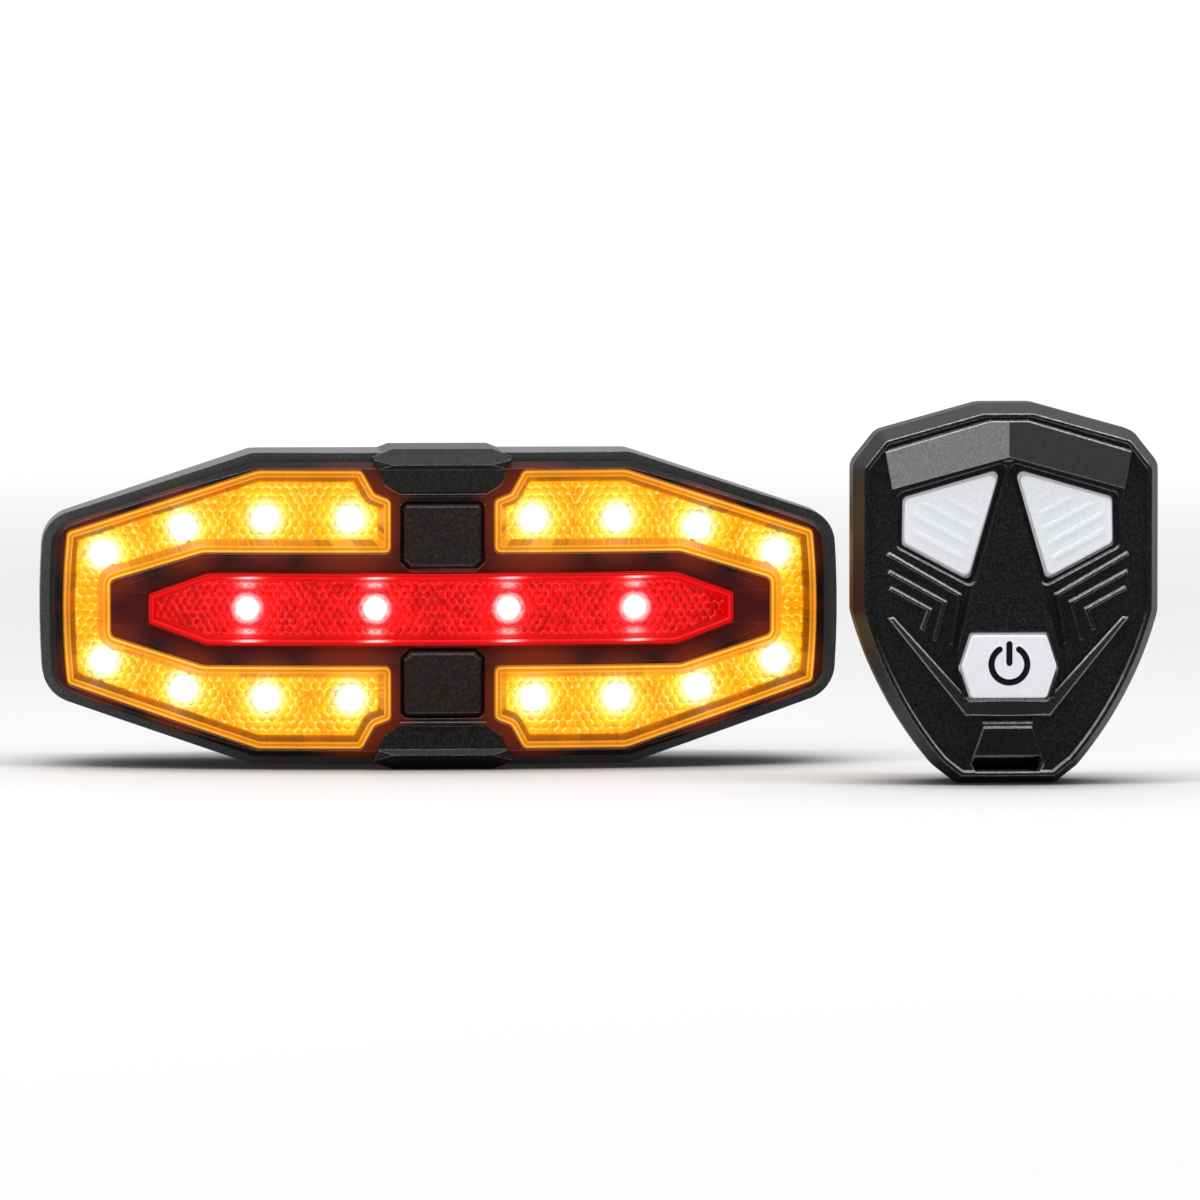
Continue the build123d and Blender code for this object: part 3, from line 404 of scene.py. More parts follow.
def lit_brow(material, tone, speckle, brow):
    """Lighter colours for the brow's two slopes, in place of the uneven light that falls on them:
    the left one is the lightest."""
    normal = add(material, "ShaderNodeNewGeometry").outputs["Normal"]
    lean = add(material, "ShaderNodeSeparateXYZ", {"Vector": normal})
    forward = maths(material, "COMPARE", lean.outputs["Y"], -1.0, brow_facing_width)
    grainy = straight(material, speckle, *brow_grain_span, *brow_grain_strengths)
    for slope, colour in zip(brow_leans, brow):
        on_slope = maths(material, "COMPARE", lean.outputs["X"], slope, brow_lean_width)
        share = maths(material, "MULTIPLY", maths(material, "MULTIPLY", on_slope, forward), grainy)
        tone = blended(material, share, tone, colour)
    return tone


def plated(name, colour, roughness):
    """Bare or plated metal with fine brushing."""
    material, surface = principled(name, {"Metallic": 1.0, "Base Color": (*colour, 1)})
    brushed = add(material, "ShaderNodeMapping", {"Vector": own_place(material),
                                                  "Scale": (1.0, 1.0, brush_stretch)})
    fine = noise(material, brushed, brush_size, 3.0)
    rough = straight(material, fine, *noise_span, *(roughness + change for change in brush_rough_change))
    edge = add(material, "ShaderNodeBevel", {"Radius": metal_rounding * mm}, samples=4)
    bump = add(material, "ShaderNodeBump", {"Height": fine, "Distance": brush_relief * mm, "Normal": edge})
    link(material, rough, surface.inputs["Roughness"])
    link(material, bump, surface.inputs["Normal"])
    return material


def glow_base(name):
    """Lit tinted plastic, its glow's tone carried by the mesh."""
    material, surface = principled(name, {"Roughness": 0.3, "Base Color": (0.004, 0.002, 0.001, 1),
                                          "Specular IOR Level": 0.1})
    return material, surface, carried(material, "tone", "Color")


def glowing_pillows(name, shine, glint, seam, shade, patch):
    """Pillows lit from behind: a glint on the side towards the LED, bright broken seams between
    them, shaded hollows, and patches that are lit less."""
    material, surface, tone = glow_base(name)
    place = own_place(material)
    normal = add(material, "ShaderNodeNewGeometry").outputs["Normal"]
    facing = measured(material, "DOT_PRODUCT", normal, carried(material, "ray", "Vector"))
    fine = noise(material, place, fine_size, 2.0)
    wide = noise(material, place, patch_size, 2.0)
    turned = maths(material, "ADD", facing, straight(material, fine, *noise_span, -wobble, wobble))
    seams = maths(material, "MULTIPLY", between(material, carried(material, "edge"), *seam_span, 0.0, seam),
                  between(material, fine, *seam_break_span, 0.0, 1.0))
    lines = maths(material, "MAXIMUM", between(material, turned, *glint_span, 0.0, glint), seams)
    strength = maths(material, "MULTIPLY", between(material, turned, *hollow_span, 1 - shade, 1.0),
                     between(material, wide, *patch_span, 1 - patch, 1.0))
    bright = blended(material, 1.0, scaled(material, tone, glint_boost), shine, blend_type="LIGHTEN")
    colour = blended(material, lines, scaled(material, tone, strength), bright)
    unshaded = blended(material, 1.0, colour, tone, blend_type="LIGHTEN")
    make_glow(material, surface, blended(material, carried(material, "core"), colour, unshaded))
    return material


def glowing_rim(name, block, streak):
    """A rim lit from inside: its walls break into lighter and darker blocks with fine streaks."""
    material, surface, tone = glow_base(name)
    along = carried(material, "along")
    blocks = add(material, "ShaderNodeTexVoronoi", {"W": along, "Scale": blocks_per_mm},
                 voronoi_dimensions="1D")
    random_block = add(material, "ShaderNodeSeparateColor", {"Color": blocks.outputs["Color"]}).outputs["Red"]
    fine = add(material, "ShaderNodeTexNoise", {"W": along, "Scale": streaks_per_mm, "Detail": 2.0},
               noise_dimensions="1D")
    lift = maths(material, "ADD", straight(material, random_block, 0.0, 1.0, -block, block),
                 straight(material, fine, *noise_span, -streak, streak))
    strength = maths(material, "MULTIPLY_ADD", lift, carried(material, "streaky"), 1.0)
    make_glow(material, surface, scaled(material, tone, strength))
    return material


def clear_cover(name, tint):
    """Clear moulded plastic in front of the lit parts: tinted, with a soft reflection."""
    material = bpy.data.materials.new(name)
    material.use_nodes = True
    tree = material.node_tree
    tree.nodes.remove(tree.nodes["Principled BSDF"])
    through = add(material, "ShaderNodeBsdfTransparent", {"Color": (*tint, 1)})
    shine = add(material, "ShaderNodeBsdfGlossy", {"Roughness": cover_roughness, "Color": (1, 1, 1, 1)})
    fresnel = add(material, "ShaderNodeFresnel", {"IOR": cover_index})
    both = add(material, "ShaderNodeMixShader", {"Fac": maths(material, "MULTIPLY", fresnel, cover_shine)})
    link(material, through, both.inputs[1])
    link(material, shine, both.inputs[2])
    link(material, both, tree.nodes["Material Output"].inputs["Surface"])
    return material


# Shapes

def bowed(x, z, depth):
    """A point of the lamp's front view, at a depth behind its bowed front."""
    radius = bow_radius - depth
    y = bow_axis_y - math.sqrt(radius * radius - x * x)
    return Vector((x, y, lamp_middle + z)) * mm


def amber_outline():
    """The right amber window's corners all the way round, with its bowed outer end."""
    lower = [(x, -z, r) for x, z, r in reversed(amber_corners)]
    side, top = amber_corners[0][:2]
    end = [(side + end_bow * (1 - share * share), share * top, end_bow_radius) for share in end_bow_shares]
    return amber_corners + lower + end


def red_outline():
    """The red window's corners all the way round."""
    upper = red_corners + [(-x, z, r) for x, z, r in reversed(red_corners)]
    lower = [(-x, -z, r) for x, z, r in upper]
    return lower[-1:] + upper + lower[:-1]


def drawn_in(corners, inset):
    """An outline's corners moved in by an inset, with the round corners that fit."""
    moved = []
    for i, (x, z, radius) in enumerate(corners):
        here = Vector((x, z))
        before = Vector(corners[i - 1][:2])
        after = Vector(corners[(i + 1) % len(corners)][:2])
        a, b = (here - before).normalized(), (after - here).normalized()
        inward = Vector((-a.y - b.y, a.x + b.x)) / (1 + a.dot(b))
        bend = a.x * b.y - a.y * b.x
        radius = radius - inset if bend > 0 else radius + inset
        moved.append((*(here + inward * inset), max(radius, least_radius)))
    return moved


def rounded(corners, inset=0.0):
    """Points (x, z) round an outline drawn in by an inset; the count is the same for every inset."""
    moved = drawn_in(corners, inset)
    count = len(corners)
    arcs = []
    for i, (x, z, radius) in enumerate(moved):
        here = Vector((x, z))
        a = (here - Vector(moved[i - 1][:2])).normalized()
        b = (Vector(moved[(i + 1) % count][:2]) - here).normalized()
        bend = math.atan2(a.x * b.y - a.y * b.x, a.dot(b))
        side = 1 if bend > 0 else -1
        start = here - a * radius * math.tan(abs(bend) / 2)
        middle = start + Vector((-a.y, a.x)) * side * radius
        arcs.append([middle + Matrix.Rotation(bend * k / corner_steps, 2) @ (start - middle)
                     for k in range(corner_steps + 1)])
    points = []
    for i, arc in enumerate(arcs):
        points += arc
        following = arcs[(i + 1) % count][0]
        run = (Vector(corners[(i + 1) % count][:2]) - Vector(corners[i][:2])).length
        steps = max(1, round(run / outline_step))
        points += [arc[-1].lerp(following, k / steps) for k in range(1, steps)]
    return points


def inside(point, outline):
    """Whether a point of the front view lies inside an outline."""
    x, z = point
    odd = False
    for a, b in zip(outline, outline[1:] + outline[:1]):
        if (a.y > z) != (b.y > z) and x < a.x + (z - a.y) * (b.x - a.x) / (b.y - a.y):
            odd = not odd
    return odd


def nearest(point, places):
    """The distance to the nearest LED, and the direction to it."""
    x, z = point
    place = min(places, key=lambda p: math.hypot(p[0] - x, p[1] - z))
    away = Vector((place[0] - x, 0, place[1] - z))
    return away.length, away.normalized() if away.length > least_ray else Vector((0, 0, 1))


def closeness(point, places, reach):
    """How near a point is to the LEDs, from 0 to 1."""
    x, z = point
    return min(1.0, sum(math.exp(-((p[0] - x) ** 2 + (p[1] - z) ** 2) / reach ** 2) for p in places))


def piece(name, body, mesh, material, smooth=True):
    """A piece that the scene makes, riding a body."""
    mesh.materials.append(material)
    made = bpy.data.objects.new(name, mesh)
    bpy.context.scene.collection.objects.link(made)
    for polygon in mesh.polygons:
        polygon.use_smooth = smooth
    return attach(made, body)


def coloured(mesh, **layers):
    """Gives a mesh's points named layers: colours, vectors along a ray, or plain numbers."""
    for name, values in layers.items():
        if name == "tone":
            layer = mesh.attributes.new(name, "FLOAT_COLOR", "POINT")
            layer.data.foreach_set("color", [c for value in values for c in (*value, 1.0)])
        elif name == "ray":
            layer = mesh.attributes.new(name, "FLOAT_VECTOR", "POINT")
            layer.data.foreach_set("vector", [c for value in values for c in value])
        else:
            layer = mesh.attributes.new(name, "FLOAT", "POINT")
            layer.data.foreach_set("value", values)


def ring_mesh(name, corners, profile, tone_of, places, side):
    """A moulding that runs round a window: rings at (inset, depth) joined by faces."""
    rings = [rounded(corners, inset) for inset, depth, key in profile]
    count = len(rings[0])
    vertices, tones, along, streaky = [], [], [], []
    base = rings[0]
    travelled = [0.0]
    for a, b in zip(base, base[1:]):
        travelled.append(travelled[-1] + (b - a).length)
    for ring, (inset, depth, key) in zip(rings, profile):
        for i, p in enumerate(ring):
            vertices.append(bowed(side * p.x, p.y, depth))
            before, after = base[i - 1], base[(i + 1) % count]
            way = (after - before).normalized()
            inward = Vector((-way.y, way.x))
            tones.append(tone_of(key, p, inward, places))
            along.append(travelled[i])
            streaky.append(1.0 if key in streaked_parts else calm_streak_share)
    faces = []
    for r in range(len(rings) - 1):
        for i in range(count):
            j = (i + 1) % count
            quad = (r * count + i, r * count + j, (r + 1) * count + j, (r + 1) * count + i)
            faces.append(quad if side > 0 else quad[::-1])
    mesh = bpy.data.meshes.new(name)
    mesh.from_pydata(vertices, [], faces)
    coloured(mesh, tone=tones, along=along, streaky=streaky)
    return mesh


def sheet_tone(x, z, stops, distance, smearing):
    """How a sheet glows at a distance from the nearest LED; some LEDs also throw a short smear at
    the window's upper and lower edge."""
    smear = sum(math.exp(-((x - px) / smear_half_length) ** 2
                         - ((abs(z) - smear_height) / smear_half_width) ** 2) for px, pz in smearing)
    return mixed(ramp(stops, distance), smear_glow, min(1.0, smear))


def pillow_mesh(name, corners, margin, pitch, stops, places, side, smearing=()):
    """An optic sheet: a hexagonal array of round pillows inside a window."""
    limit = rounded(corners, margin)
    reach = pitch / math.sqrt(3)
    work = bmesh.new()
    edge_layer = work.verts.layers.float.new("edge")
    rows = round(sheet_half_height / (pitch * math.sqrt(3) / 2))
    columns = round(sheet_half_width / pitch)
    for row in range(-rows, rows + 1):
        for column in range(-columns, columns + 1):
            x = (column + 0.5 * (row % 2)) * pitch
            z = row * pitch * math.sqrt(3) / 2
            if not inside((x, z), limit):
                continue
            rise = pillow_rise * random.uniform(*pillow_rise_shares)
            shift = Vector([random.uniform(-pillow_shift_share, pillow_shift_share) for axis in "xz"]) * pitch
            rings = []
            for share, height in pillow_rings:
                ring = []
                for k in range(pillow_points):
                    angle = math.radians(pillow_turn * (k + 1))
                    if share < 1.0:
                        radius = share * reach * pillow_round_share
                    else:
                        radius = reach if k % 2 == 0 else reach * math.cos(math.radians(pillow_turn))
                    px = x + radius * math.cos(angle) + shift.x * (1 - share)
                    pz = z + radius * math.sin(angle) + shift.y * (1 - share)
                    ring.append(work.verts.new(bowed(side * px, pz, sheet_depth - rise * height)))
                    ring[-1][edge_layer] = share
                rings.append(ring)
            top = work.verts.new(bowed(side * (x + shift.x), z + shift.y, sheet_depth - rise))
            for lower, upper in zip(rings, rings[1:]):
                for k in range(pillow_points):
                    quad = (lower[k], lower[k - 1], upper[k - 1], upper[k])
                    work.faces.new(quad[::-1] if side > 0 else quad)
            for k in range(pillow_points):
                triangle = (rings[-1][k], rings[-1][k - 1], top)
                work.faces.new(triangle[::-1] if side > 0 else triangle)
    bmesh.ops.remove_doubles(work, verts=work.verts, dist=merge_distance * mm)
    mesh = bpy.data.meshes.new(name)
    work.to_mesh(mesh)
    work.free()
    tones, cores, rays = [], [], []
    for vertex in mesh.vertices:
        x, z = side * vertex.co.x / mm, vertex.co.z / mm - lamp_middle
        distance, way = nearest((x, z), places)
        tones.append(sheet_tone(x, z, stops, distance, smearing))
        cores.append(min(1.0, max(0.0, (core_end - distance) / (core_end - core_start))))
        rays.append((side * way.x, 0, way.z))
    coloured(mesh, tone=tones, core=cores, ray=rays)
    return mesh


def both_signs(places):
    """Places above the middle, and the same ones below it."""
    return [(x, s * z) for x, z in places for s in (1, -1)]


# Plastics of the solids

# each line colour below is the painted highlight that the material's edges take
housing = moulded("housing_plastic", srgb("343435"), srgb("464647"), roughness=0.4, grain=0.26,
                  relief=0.02, specular=0.3, line=(0.34, 0.34, 0.34))
# painted light: the bezel glows with the orange and red light that the windows spill beside it
bezel = moulded("bezel_plastic", srgb("0a0807"), srgb("171111"), roughness=0.42, grain=0.3,
                relief=0.03, spill=True, specular=0.11, line=(0.42, 0.34, 0.32))
cap = moulded("cap_plastic", srgb("0b0a0a"), srgb("262424"), roughness=0.42, grain=0.38,
              relief=0.08, line=(0.4, 0.4, 0.4), rounding=0.2, under=0.25, specular=0.18)
pad = moulded("pad_rubber", srgb("120c0c"), srgb("322122"), roughness=0.48, grain=0.32,
              relief=0.07, line=(0.34, 0.27, 0.27), rounding=0.22, under=0.3)
# painted light: the brow's left slope lighter and its right slope darker, in place of the uneven light on
# them
painted_brow_light = (srgb("868686"), srgb("3a3a3b"))
remote_plastic = moulded("remote_plastic", srgb("0e0e0f"), srgb("272728"), roughness=0.42, grain=0.26,
                         relief=0.05, specular=0.1, line=(1.0, 1.0, 1.0), rounding=0.32, brow=painted_brow_light)
# painted light: a lighter copy of the remote's plastic for the jaw band, with a strong painted highlight on
# its down-turned outer edges
jaw_plastic = moulded("jaw_plastic", srgb("141415"), srgb("303031"), roughness=0.4, grain=0.26,
                      relief=0.05, specular=0.2, line=(0.85, 0.85, 0.85), rounding=0.24, under=0.8)
dark_plastic = moulded("dark_plastic", srgb("121212"), srgb("1a1a1a"), roughness=0.5, grain=0.3,
                       relief=0.008)
rubber = moulded("port_rubber", srgb("141414"), srgb("1a1a1a"), roughness=0.62, grain=0.4,
                 relief=0.012, line=(0.05, 0.05, 0.05))
# painted light: the white buttons glow evenly though they hold no lamp
white_plastic = moulded("white_plastic", srgb("c6c8cd"), srgb("cbcdd2"), roughness=0.3, grain=0.5,
                        relief=0.001, specular=0.4, glow=0.45, line=(0.95, 0.95, 0.97), rounding=0.12)
tray_plastic = moulded("tray_plastic", srgb("d0d0cc"), srgb("dcdcd8"), roughness=0.35, grain=0.5,
                       relief=0.002, specular=0.5, line=(0.9, 0.9, 0.9))
board_mask = moulded("board_mask", srgb("0d3a20"), srgb("135030"), roughness=0.3, grain=0.8,
                     relief=0.004, specular=0.5)
foam = moulded("foam", srgb("3a3a3c"), srgb("4a4a4c"), roughness=0.9, grain=0.5,
               relief=0.12, specular=0.1, line=(0.05, 0.05, 0.05))
steel = plated("steel", srgb("8a8a8e"), roughness=0.32)
dark_steel = plated("dark_steel", srgb("5c5c60"), roughness=0.38)
foil = plated("foil", srgb("b8b8bc"), roughness=0.3)
brass = plated("brass", srgb("c8a050"), roughness=0.3)
amber_cover = clear_cover("amber_cover", (1.0, 0.95, 0.85))
red_cover = clear_cover("red_cover", (1.0, 0.85, 0.85))

finishes = {
    housing: ["lamp_rear_housing"], bezel: ["lamp_front_bezel"], cap: ["top_cap", "bottom_cap"],
    pad: ["lamp_power_button", "lamp_mode_button"],
    remote_plastic: ["remote_front_cover", "remote_back_cover", "coin_door"],
    white_plastic: ["left_turn_button", "right_turn_button", "remote_power_button"],
    amber_cover: ["left_amber_lens", "right_amber_lens"], red_cover: ["red_lens"],
    tray_plastic: ["reflector_tray", "power_switch_plunger", "mode_switch_plunger", "left_switch_plunger",
                   "right_switch_plunger", "centre_switch_plunger", "left_amber_leds", "right_amber_leds",
                   "red_leds"],
    board_mask: ["lamp_circuit_board", "remote_circuit_board"], foam: ["battery_foam"],
    rubber: ["charge_port_cover", "port_cover_anchor", "lamp_seal", "door_seal"],
    steel: ["radio_module", "charge_socket", "coin_cell"], dark_steel: ["housing_screws", "remote_screws"],
    foil: ["lamp_battery"], brass: ["negative_contact", "positive_contact"],
}
node_materials = {node: finish for finish, group in finishes.items() for node in group}
for name, node in nodes.items():
    node.data.materials.clear()
    node.data.materials.append(node_materials.get(name, dark_plastic))

# Lit windows: glows at distances from an LED, and rings of the rims at (inset, depth, part)

amber_stops = [(1.35, lit("fffffa", 1.7, 1.0)), (2.0, lit("fffab0", 1.3, 1.0)),
               (2.8, lit("ffea44", 1.1, 1.3)), (3.8, lit("ffd41a", 1.05, 1.5)),
               (5.2, lit("ffc40c", 1.05, 1.5)), (9.0, lit("feba02", 1.05, 1.5))]
red_stops = [(1.25, lit("fffafa", 1.7, 1.0)), (1.65, lit("ffc0c4", 1.2, 1.2)),
             (2.2, lit("ff2a32", 1.0, 1.4)), (3.0, lit("ff060e", 1.0, 1.3)),
             (5.2, lit("f40004", 1.0, 1.1)), (9.0, lit("e80002", 1.0, 1.1))]
smear_glow = lit("ffe0e2", 1.2, 1.2)
red_line_glow = lit("e80410", 1.0, 1.2)
red_line_shine = lit("ffd0d4", 1.3, 1.1)
amber_shine = lit("fff084", 1.15, 1.1)
red_shine = lit("ff5a62", 1.0, 1.2)
amber_profile = [(0.0, 1.2, "skirt"), (0.0, 0.2, "skirt"), (0.08, -0.04, "skirt"), (0.18, -0.16, "line"),
                 (0.32, -0.24, "line"), (0.42, -0.26, "band"), (0.66, -0.26, "band"), (0.74, -0.22, "crease"),
                 (0.84, 0.0, "crease"), (0.92, 0.3, "wall"), (1.3, 1.7, "wall"), (1.62, 2.9, "foot")]
red_profile = [(0.0, 1.2, "skirt"), (0.0, 0.2, "skirt"), (0.12, 0.0, "band"), (0.36, -0.02, "band"),
               (0.5, 0.0, "line"), (0.62, 0.06, "line"), (0.78, 0.3, "band"), (0.95, 1.4, "wall"),
               (1.15, 2.9, "foot")]


def amber_tone(key, point, inward, places):
    """How an amber rim glows: bright lines at its edges, dark on the walls that face the middle."""
    near = closeness(point, places, amber_rim_reach)
    outer = inward.y * point.y < 0 or inward.x < end_facing
    wall = ("7c3804", "a85a06") if outer else ("c46c10", "f29c28")
    foot = ("a05006", "e89414") if outer else ("d47c10", "ffb02c")
    tones = {"skirt": ("a85804", "d88008"), "line": ("ee8a00", "ffe866"), "band": ("cc6a00", "ffa408"),
             "crease": ("d87a00", "ffd040"), "wall": wall, "foot": foot}
    far_code, near_code = tones[key]
    return mixed(srgb(far_code), lit(near_code, 1.0, amber_rim_heat), near)


def red_tone(key, point, inward, places):
    """How the red rim glows: a bright line above and below each LED on a deep red moulding."""
    near = closeness(point, places, red_rim_reach)
    if key == "line":
        beside = min(1.0, sum(math.exp(-((px - point.x) / line_half_length) ** 2) for px, pz in places))
        return mixed(red_line_glow, red_line_shine, beside)
    far_code, near_code = {"skirt": ("780004", "b00006"), "band": ("cc0002", "f00004"),
                           "wall": ("c40004", "f0060c"), "foot": ("b80004", "e0040a")}[key]
    return mixed(srgb(far_code), lit(near_code, 1.0, red_rim_heat), near)


amber_glow = glowing_pillows("amber_glow", amber_shine, glint=0.8, seam=0.7, shade=0.28, patch=0.2)
red_glow = glowing_pillows("red_glow", red_shine, glint=0.22, seam=0.6, shade=0.45, patch=0.25)
amber_rim = glowing_rim("amber_rim", block=0.35, streak=0.16)
red_rim = glowing_rim("red_rim", block=0.1, streak=0.1)
amber_places = both_signs(amber_led_places)
red_places = red_led_places + [(-x, z) for x, z in red_led_places]
for word, side in (("right", 1), ("left", -1)):
    rim = ring_mesh(word + "_amber_rim", amber_outline(), amber_profile, amber_tone, amber_places, side)
    piece(word + "_amber_rim", "lamp", rim, amber_rim)
    pillows = pillow_mesh(word + "_amber_pillows", amber_outline(), amber_margin, amber_pitch, amber_stops,
                          amber_places, side)
    sheet = piece(word + "_amber_pillows", "lamp", pillows, amber_glow)
    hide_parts(word + "_amber_optic")
rim = ring_mesh("red_rim", red_outline(), red_profile, red_tone, red_places, 1)
piece("red_rim", "lamp", rim, red_rim)
pillows = pillow_mesh("red_pillows", red_outline(), red_margin, red_pitch, red_stops, red_places, 1,
                      smearing=red_places)
sheet = piece("red_pillows", "lamp", pillows, red_glow)
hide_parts("red_optic")


# Raised bands and prints on the remote

def band_mesh(name, right_half, back_y, front_y, bevel):
    """A raised band: the right half of its outline, mirrored, with its front edges bevelled."""
    points = right_half + [(-x, z) for x, z in reversed(right_half)]
    work = bmesh.new()
    rings = [[work.verts.new(Vector((remote_x + x, y, z)) * mm) for x, z in points]
             for y in (back_y, front_y)]
    front = work.faces.new(rings[1])
    for i in range(len(points)):
        j = (i + 1) % len(points)
        work.faces.new((rings[0][i], rings[0][j], rings[1][j], rings[1][i]))
    work.normal_update()
    if front.normal.y > 0:
        bmesh.ops.reverse_faces(work, faces=work.faces)
    bmesh.ops.bevel(work, geom=list(front.edges), offset=bevel * mm, segments=jaw_bevel_segments,
                    affect="EDGES", clamp_overlap=True)
    mesh = bpy.data.meshes.new(name)
    work.to_mesh(mesh)
    work.free()
    return mesh


jaw = band_mesh("remote_jaw_band", jaw_right_half, remote_face_y, remote_face_y - jaw_proud, jaw_bevel)
piece("remote_jaw_band", "remote", jaw, jaw_plastic, smooth=False)


def stroke_end(tip, way, sign, width):
    """Stations (place, way, share of the width) that round off a stroke's end, from its tip on."""
    turns = [math.radians(angle) for angle in stroke_end_turns]
    return [(tip + way * math.sin(turn) * width / 2, way * sign, math.cos(turn)) for turn in turns]


def stroke_mesh(name, path, width, height, front_y):
    """A round-topped stroke laid on the button's face along a path of (x, z), with round ends."""
    steps = [(path[i], (path[min(i + 1, len(path) - 1)] - path[max(i - 1, 0)]).normalized(), 1.0)
             for i in range(len(path))]
    first = stroke_end(path[0], (path[0] - path[1]).normalized(), -1, width)
    last = stroke_end(path[-1], (path[-1] - path[-2]).normalized(), 1, width)
    stations = first[::-1] + steps + last
    profile = [(math.cos(math.radians(angle)), math.sin(math.radians(angle)))
               for angle in range(0, 181, stroke_round_step)]
    vertices, faces = [], []
    for place, way, share in stations:
        side = Vector((way.y, -way.x))
        for across, rise in profile:
            at = place + side * across * share * width / 2
            vertices.append(Vector((at.x, front_y - rise * share * height, at.y)) * mm)
    count = len(profile)
    for i in range(len(stations) - 1):
        for k in range(count - 1):
            faces.append((i * count + k, i * count + k + 1, (i + 1) * count + k + 1, (i + 1) * count + k))
    mesh = bpy.data.meshes.new(name)
    mesh.from_pydata(vertices, [], faces)
    return mesh


def power_symbol():
    """A gapped ring and a bar: a glossy black print, in a thin raised seat of the button's plastic."""
    centre = Vector((remote_x, symbol_z))
    start, end = 90 + symbol_gap, 450 - symbol_gap
    turns = [math.radians(start + (end - start) * i / symbol_ring_steps)
             for i in range(symbol_ring_steps + 1)]
    ring = [centre + Vector((math.cos(a), math.sin(a))) * symbol_radius for a in turns]
    bar = [centre + Vector((0, symbol_bar_low + (symbol_bar_high - symbol_bar_low) * i / symbol_bar_steps))
           for i in range(symbol_bar_steps + 1)]
    ink = moulded("symbol_black", srgb("030304"), srgb("060607"), roughness=0.3, grain=0.6, relief=0.001,
                  specular=0.15)
    for word, path in (("ring", ring), ("bar", bar)):
        for part, width, height, finish, slot in (
                ("seat", symbol_stroke + 2 * symbol_seat, symbol_height * seat_height_share, white_plastic,
                 "button_white"),
                ("print", symbol_stroke, symbol_height, ink, "switch_black")):
            mesh = stroke_mesh("power_%s_%s" % (word, part), path, width, height, hex_front_y)
            piece("power_%s_%s" % (word, part), "remote_power", mesh, finish)


power_symbol()


# Stage, light and camera

def stage_floor():
    """A plain pale floor, lit up further away so that it has no horizon, with a painted contact shadow where
    something stands close.
    """
    mesh = bpy.data.meshes.new("floor")
    half = floor_half
    mesh.from_pydata([(-half, -half, 0), (half, -half, 0), (half, half, 0), (-half, half, 0)], [],
                     [(0, 1, 2, 3)])
    material, surface = principled("pale_floor", {"Roughness": 0.7, "Specular IOR Level": 0.0,
                                                  "Emission Color": (1, 1, 1, 1)})
    away = measured(material, "LENGTH", own_place(material))
    link(material, between(material, away, *glow_distances, *glow_strengths),
         surface.inputs["Emission Strength"])
    # painted shadow: the floor's colour darkens where ambient occlusion finds something near
    clear = add(material, "ShaderNodeAmbientOcclusion", {"Distance": contact_reach * mm}, samples=8)
    open_share = between(material, clear.outputs["AO"], *contact_span, 0.0, 1.0)
    tone = blended(material, open_share, contact_shadow_tone, floor_tone)
    link(material, tone, surface.inputs["Base Color"])
    mesh.materials.append(material)
    floor = bpy.data.objects.new("floor", mesh)
    bpy.context.scene.collection.objects.link(floor)


def softbox(name, place, aim, size, power):
    """A rectangular light at a place, turned to an aim."""
    light = bpy.data.lights.new(name, "AREA")
    light.shape = "RECTANGLE"
    light.size, light.size_y = size
    light.energy = power
    lamp = bpy.data.objects.new(name, light)
    lamp.location = place
    lamp.rotation_mode = "QUATERNION"
    lamp.rotation_quaternion = (Vector(aim) - Vector(place)).to_track_quat("-Z", "Y")
    bpy.context.scene.collection.objects.link(lamp)


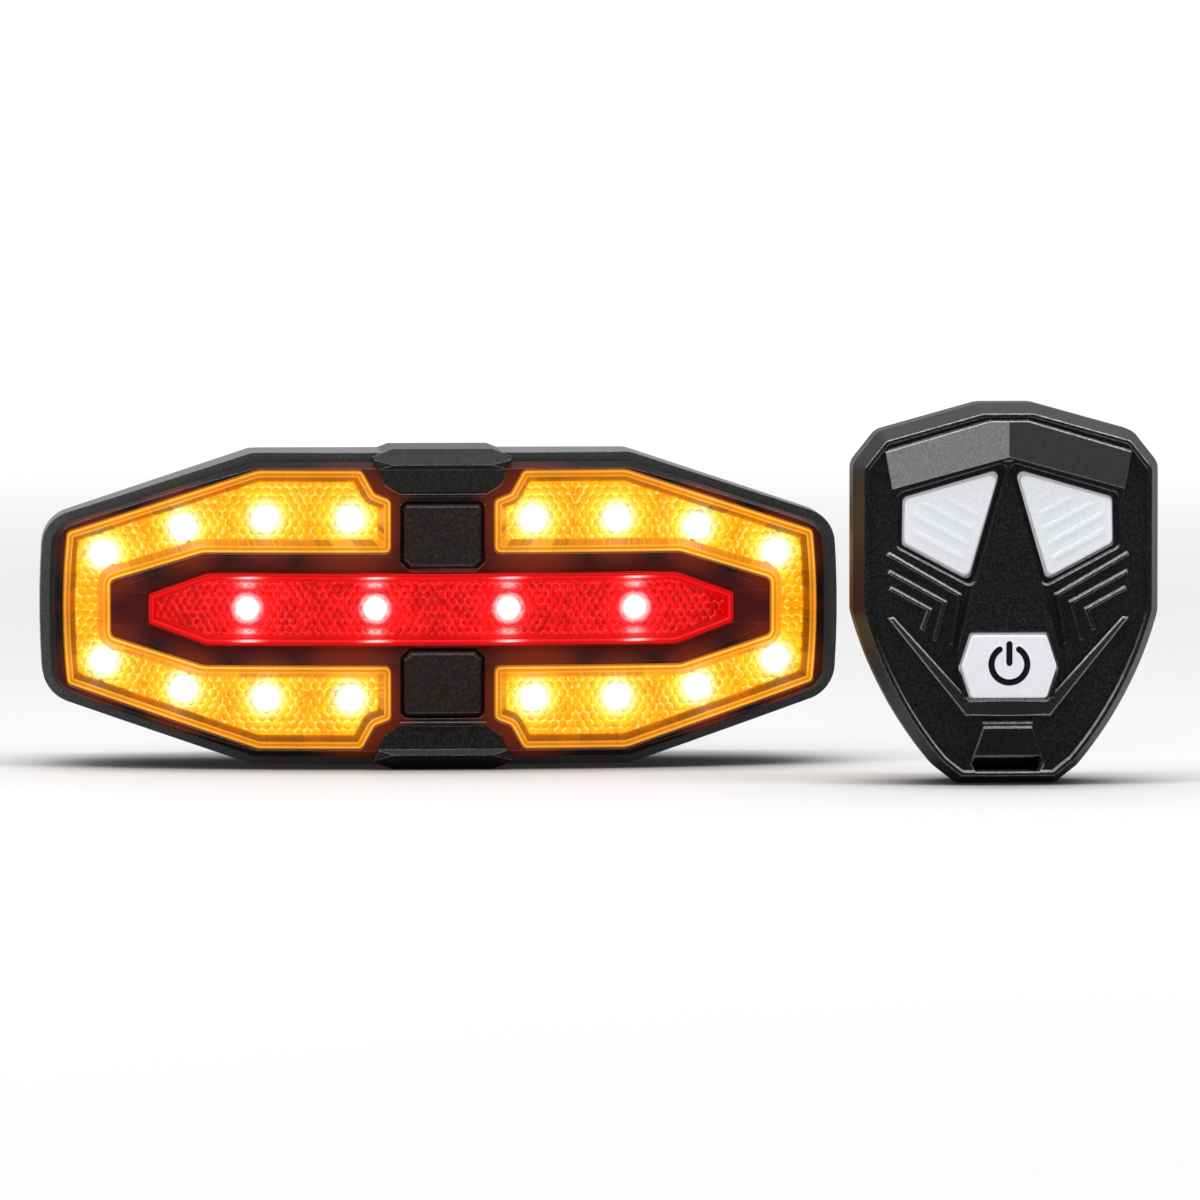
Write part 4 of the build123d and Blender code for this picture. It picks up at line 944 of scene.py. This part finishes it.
def studio():
    """White to the eye all round; for light, a dim front under a bright top and back."""
    world = bpy.data.worlds.new("studio")
    bpy.context.scene.world = world
    world.use_nodes = True
    way = add(world, "ShaderNodeTexCoord").outputs["Generated"]
    parts = add(world, "ShaderNodeSeparateXYZ", {"Vector": way})
    back = between(world, parts.outputs["Y"], *back_span, *back_strengths)
    top = between(world, parts.outputs["Z"], *top_span, *top_strengths)
    for_eyes = add(world, "ShaderNodeLightPath").outputs["Is Camera Ray"]
    seen = add(world, "ShaderNodeMix", {"Factor": for_eyes, "A": maths(world, "ADD", back, top),
                                        "B": world_seen}, data_type="FLOAT")
    link(world, seen, world.node_tree.nodes["Background"].inputs["Strength"])
    world.node_tree.nodes["Background"].inputs["Color"].default_value = (1, 1, 1, 1)


def set_camera():
    """A long lens, a little left of the lamp and above it."""
    azimuth, elevation = math.radians(camera_azimuth), math.radians(camera_elevation)
    back = Vector((math.sin(azimuth) * math.cos(elevation), -math.cos(azimuth) * math.cos(elevation),
                   math.sin(elevation)))
    turn = (-back).to_track_quat("-Z", "Y")
    right, up = turn @ Vector((1, 0, 0)), turn @ Vector((0, 1, 0))
    half = frame_pixels / 2
    aim = bowed(0, 0, 0) + right * (half - lamp_pixel_x) * pixel + up * (lamp_pixel_z - half) * pixel
    camera = bpy.data.objects.new("camera", bpy.data.cameras.new("camera"))
    camera.data.sensor_width = sensor
    camera.data.lens = sensor * camera_distance / (frame_pixels * pixel)
    camera.data.clip_start, camera.data.clip_end = camera_clip
    camera.location = aim + back * camera_distance
    camera.rotation_mode = "QUATERNION"
    camera.rotation_quaternion = turn
    bpy.context.scene.collection.objects.link(camera)
    bpy.context.scene.camera = camera


def bloom():
    """The haze that the lit LEDs throw over what is beside them."""
    scene = bpy.context.scene
    scene.use_nodes = True
    tree = scene.node_tree
    tree.nodes.clear()
    layers = tree.nodes.new("CompositorNodeRLayers")
    glare = tree.nodes.new("CompositorNodeGlare")
    glare.glare_type = "BLOOM"
    for key, value in haze.items():
        glare.inputs[key].default_value = value
    out = tree.nodes.new("CompositorNodeComposite")
    tree.links.new(layers.outputs["Image"], glare.inputs["Image"])
    tree.links.new(glare.outputs["Image"], out.inputs["Image"])


stage_floor()
for name, (place, aim, size, power) in softboxes.items():
    softbox(name, place, aim, size, power)
studio()
set_camera()
bloom()
bpy.context.scene.view_settings.view_transform = "Standard"
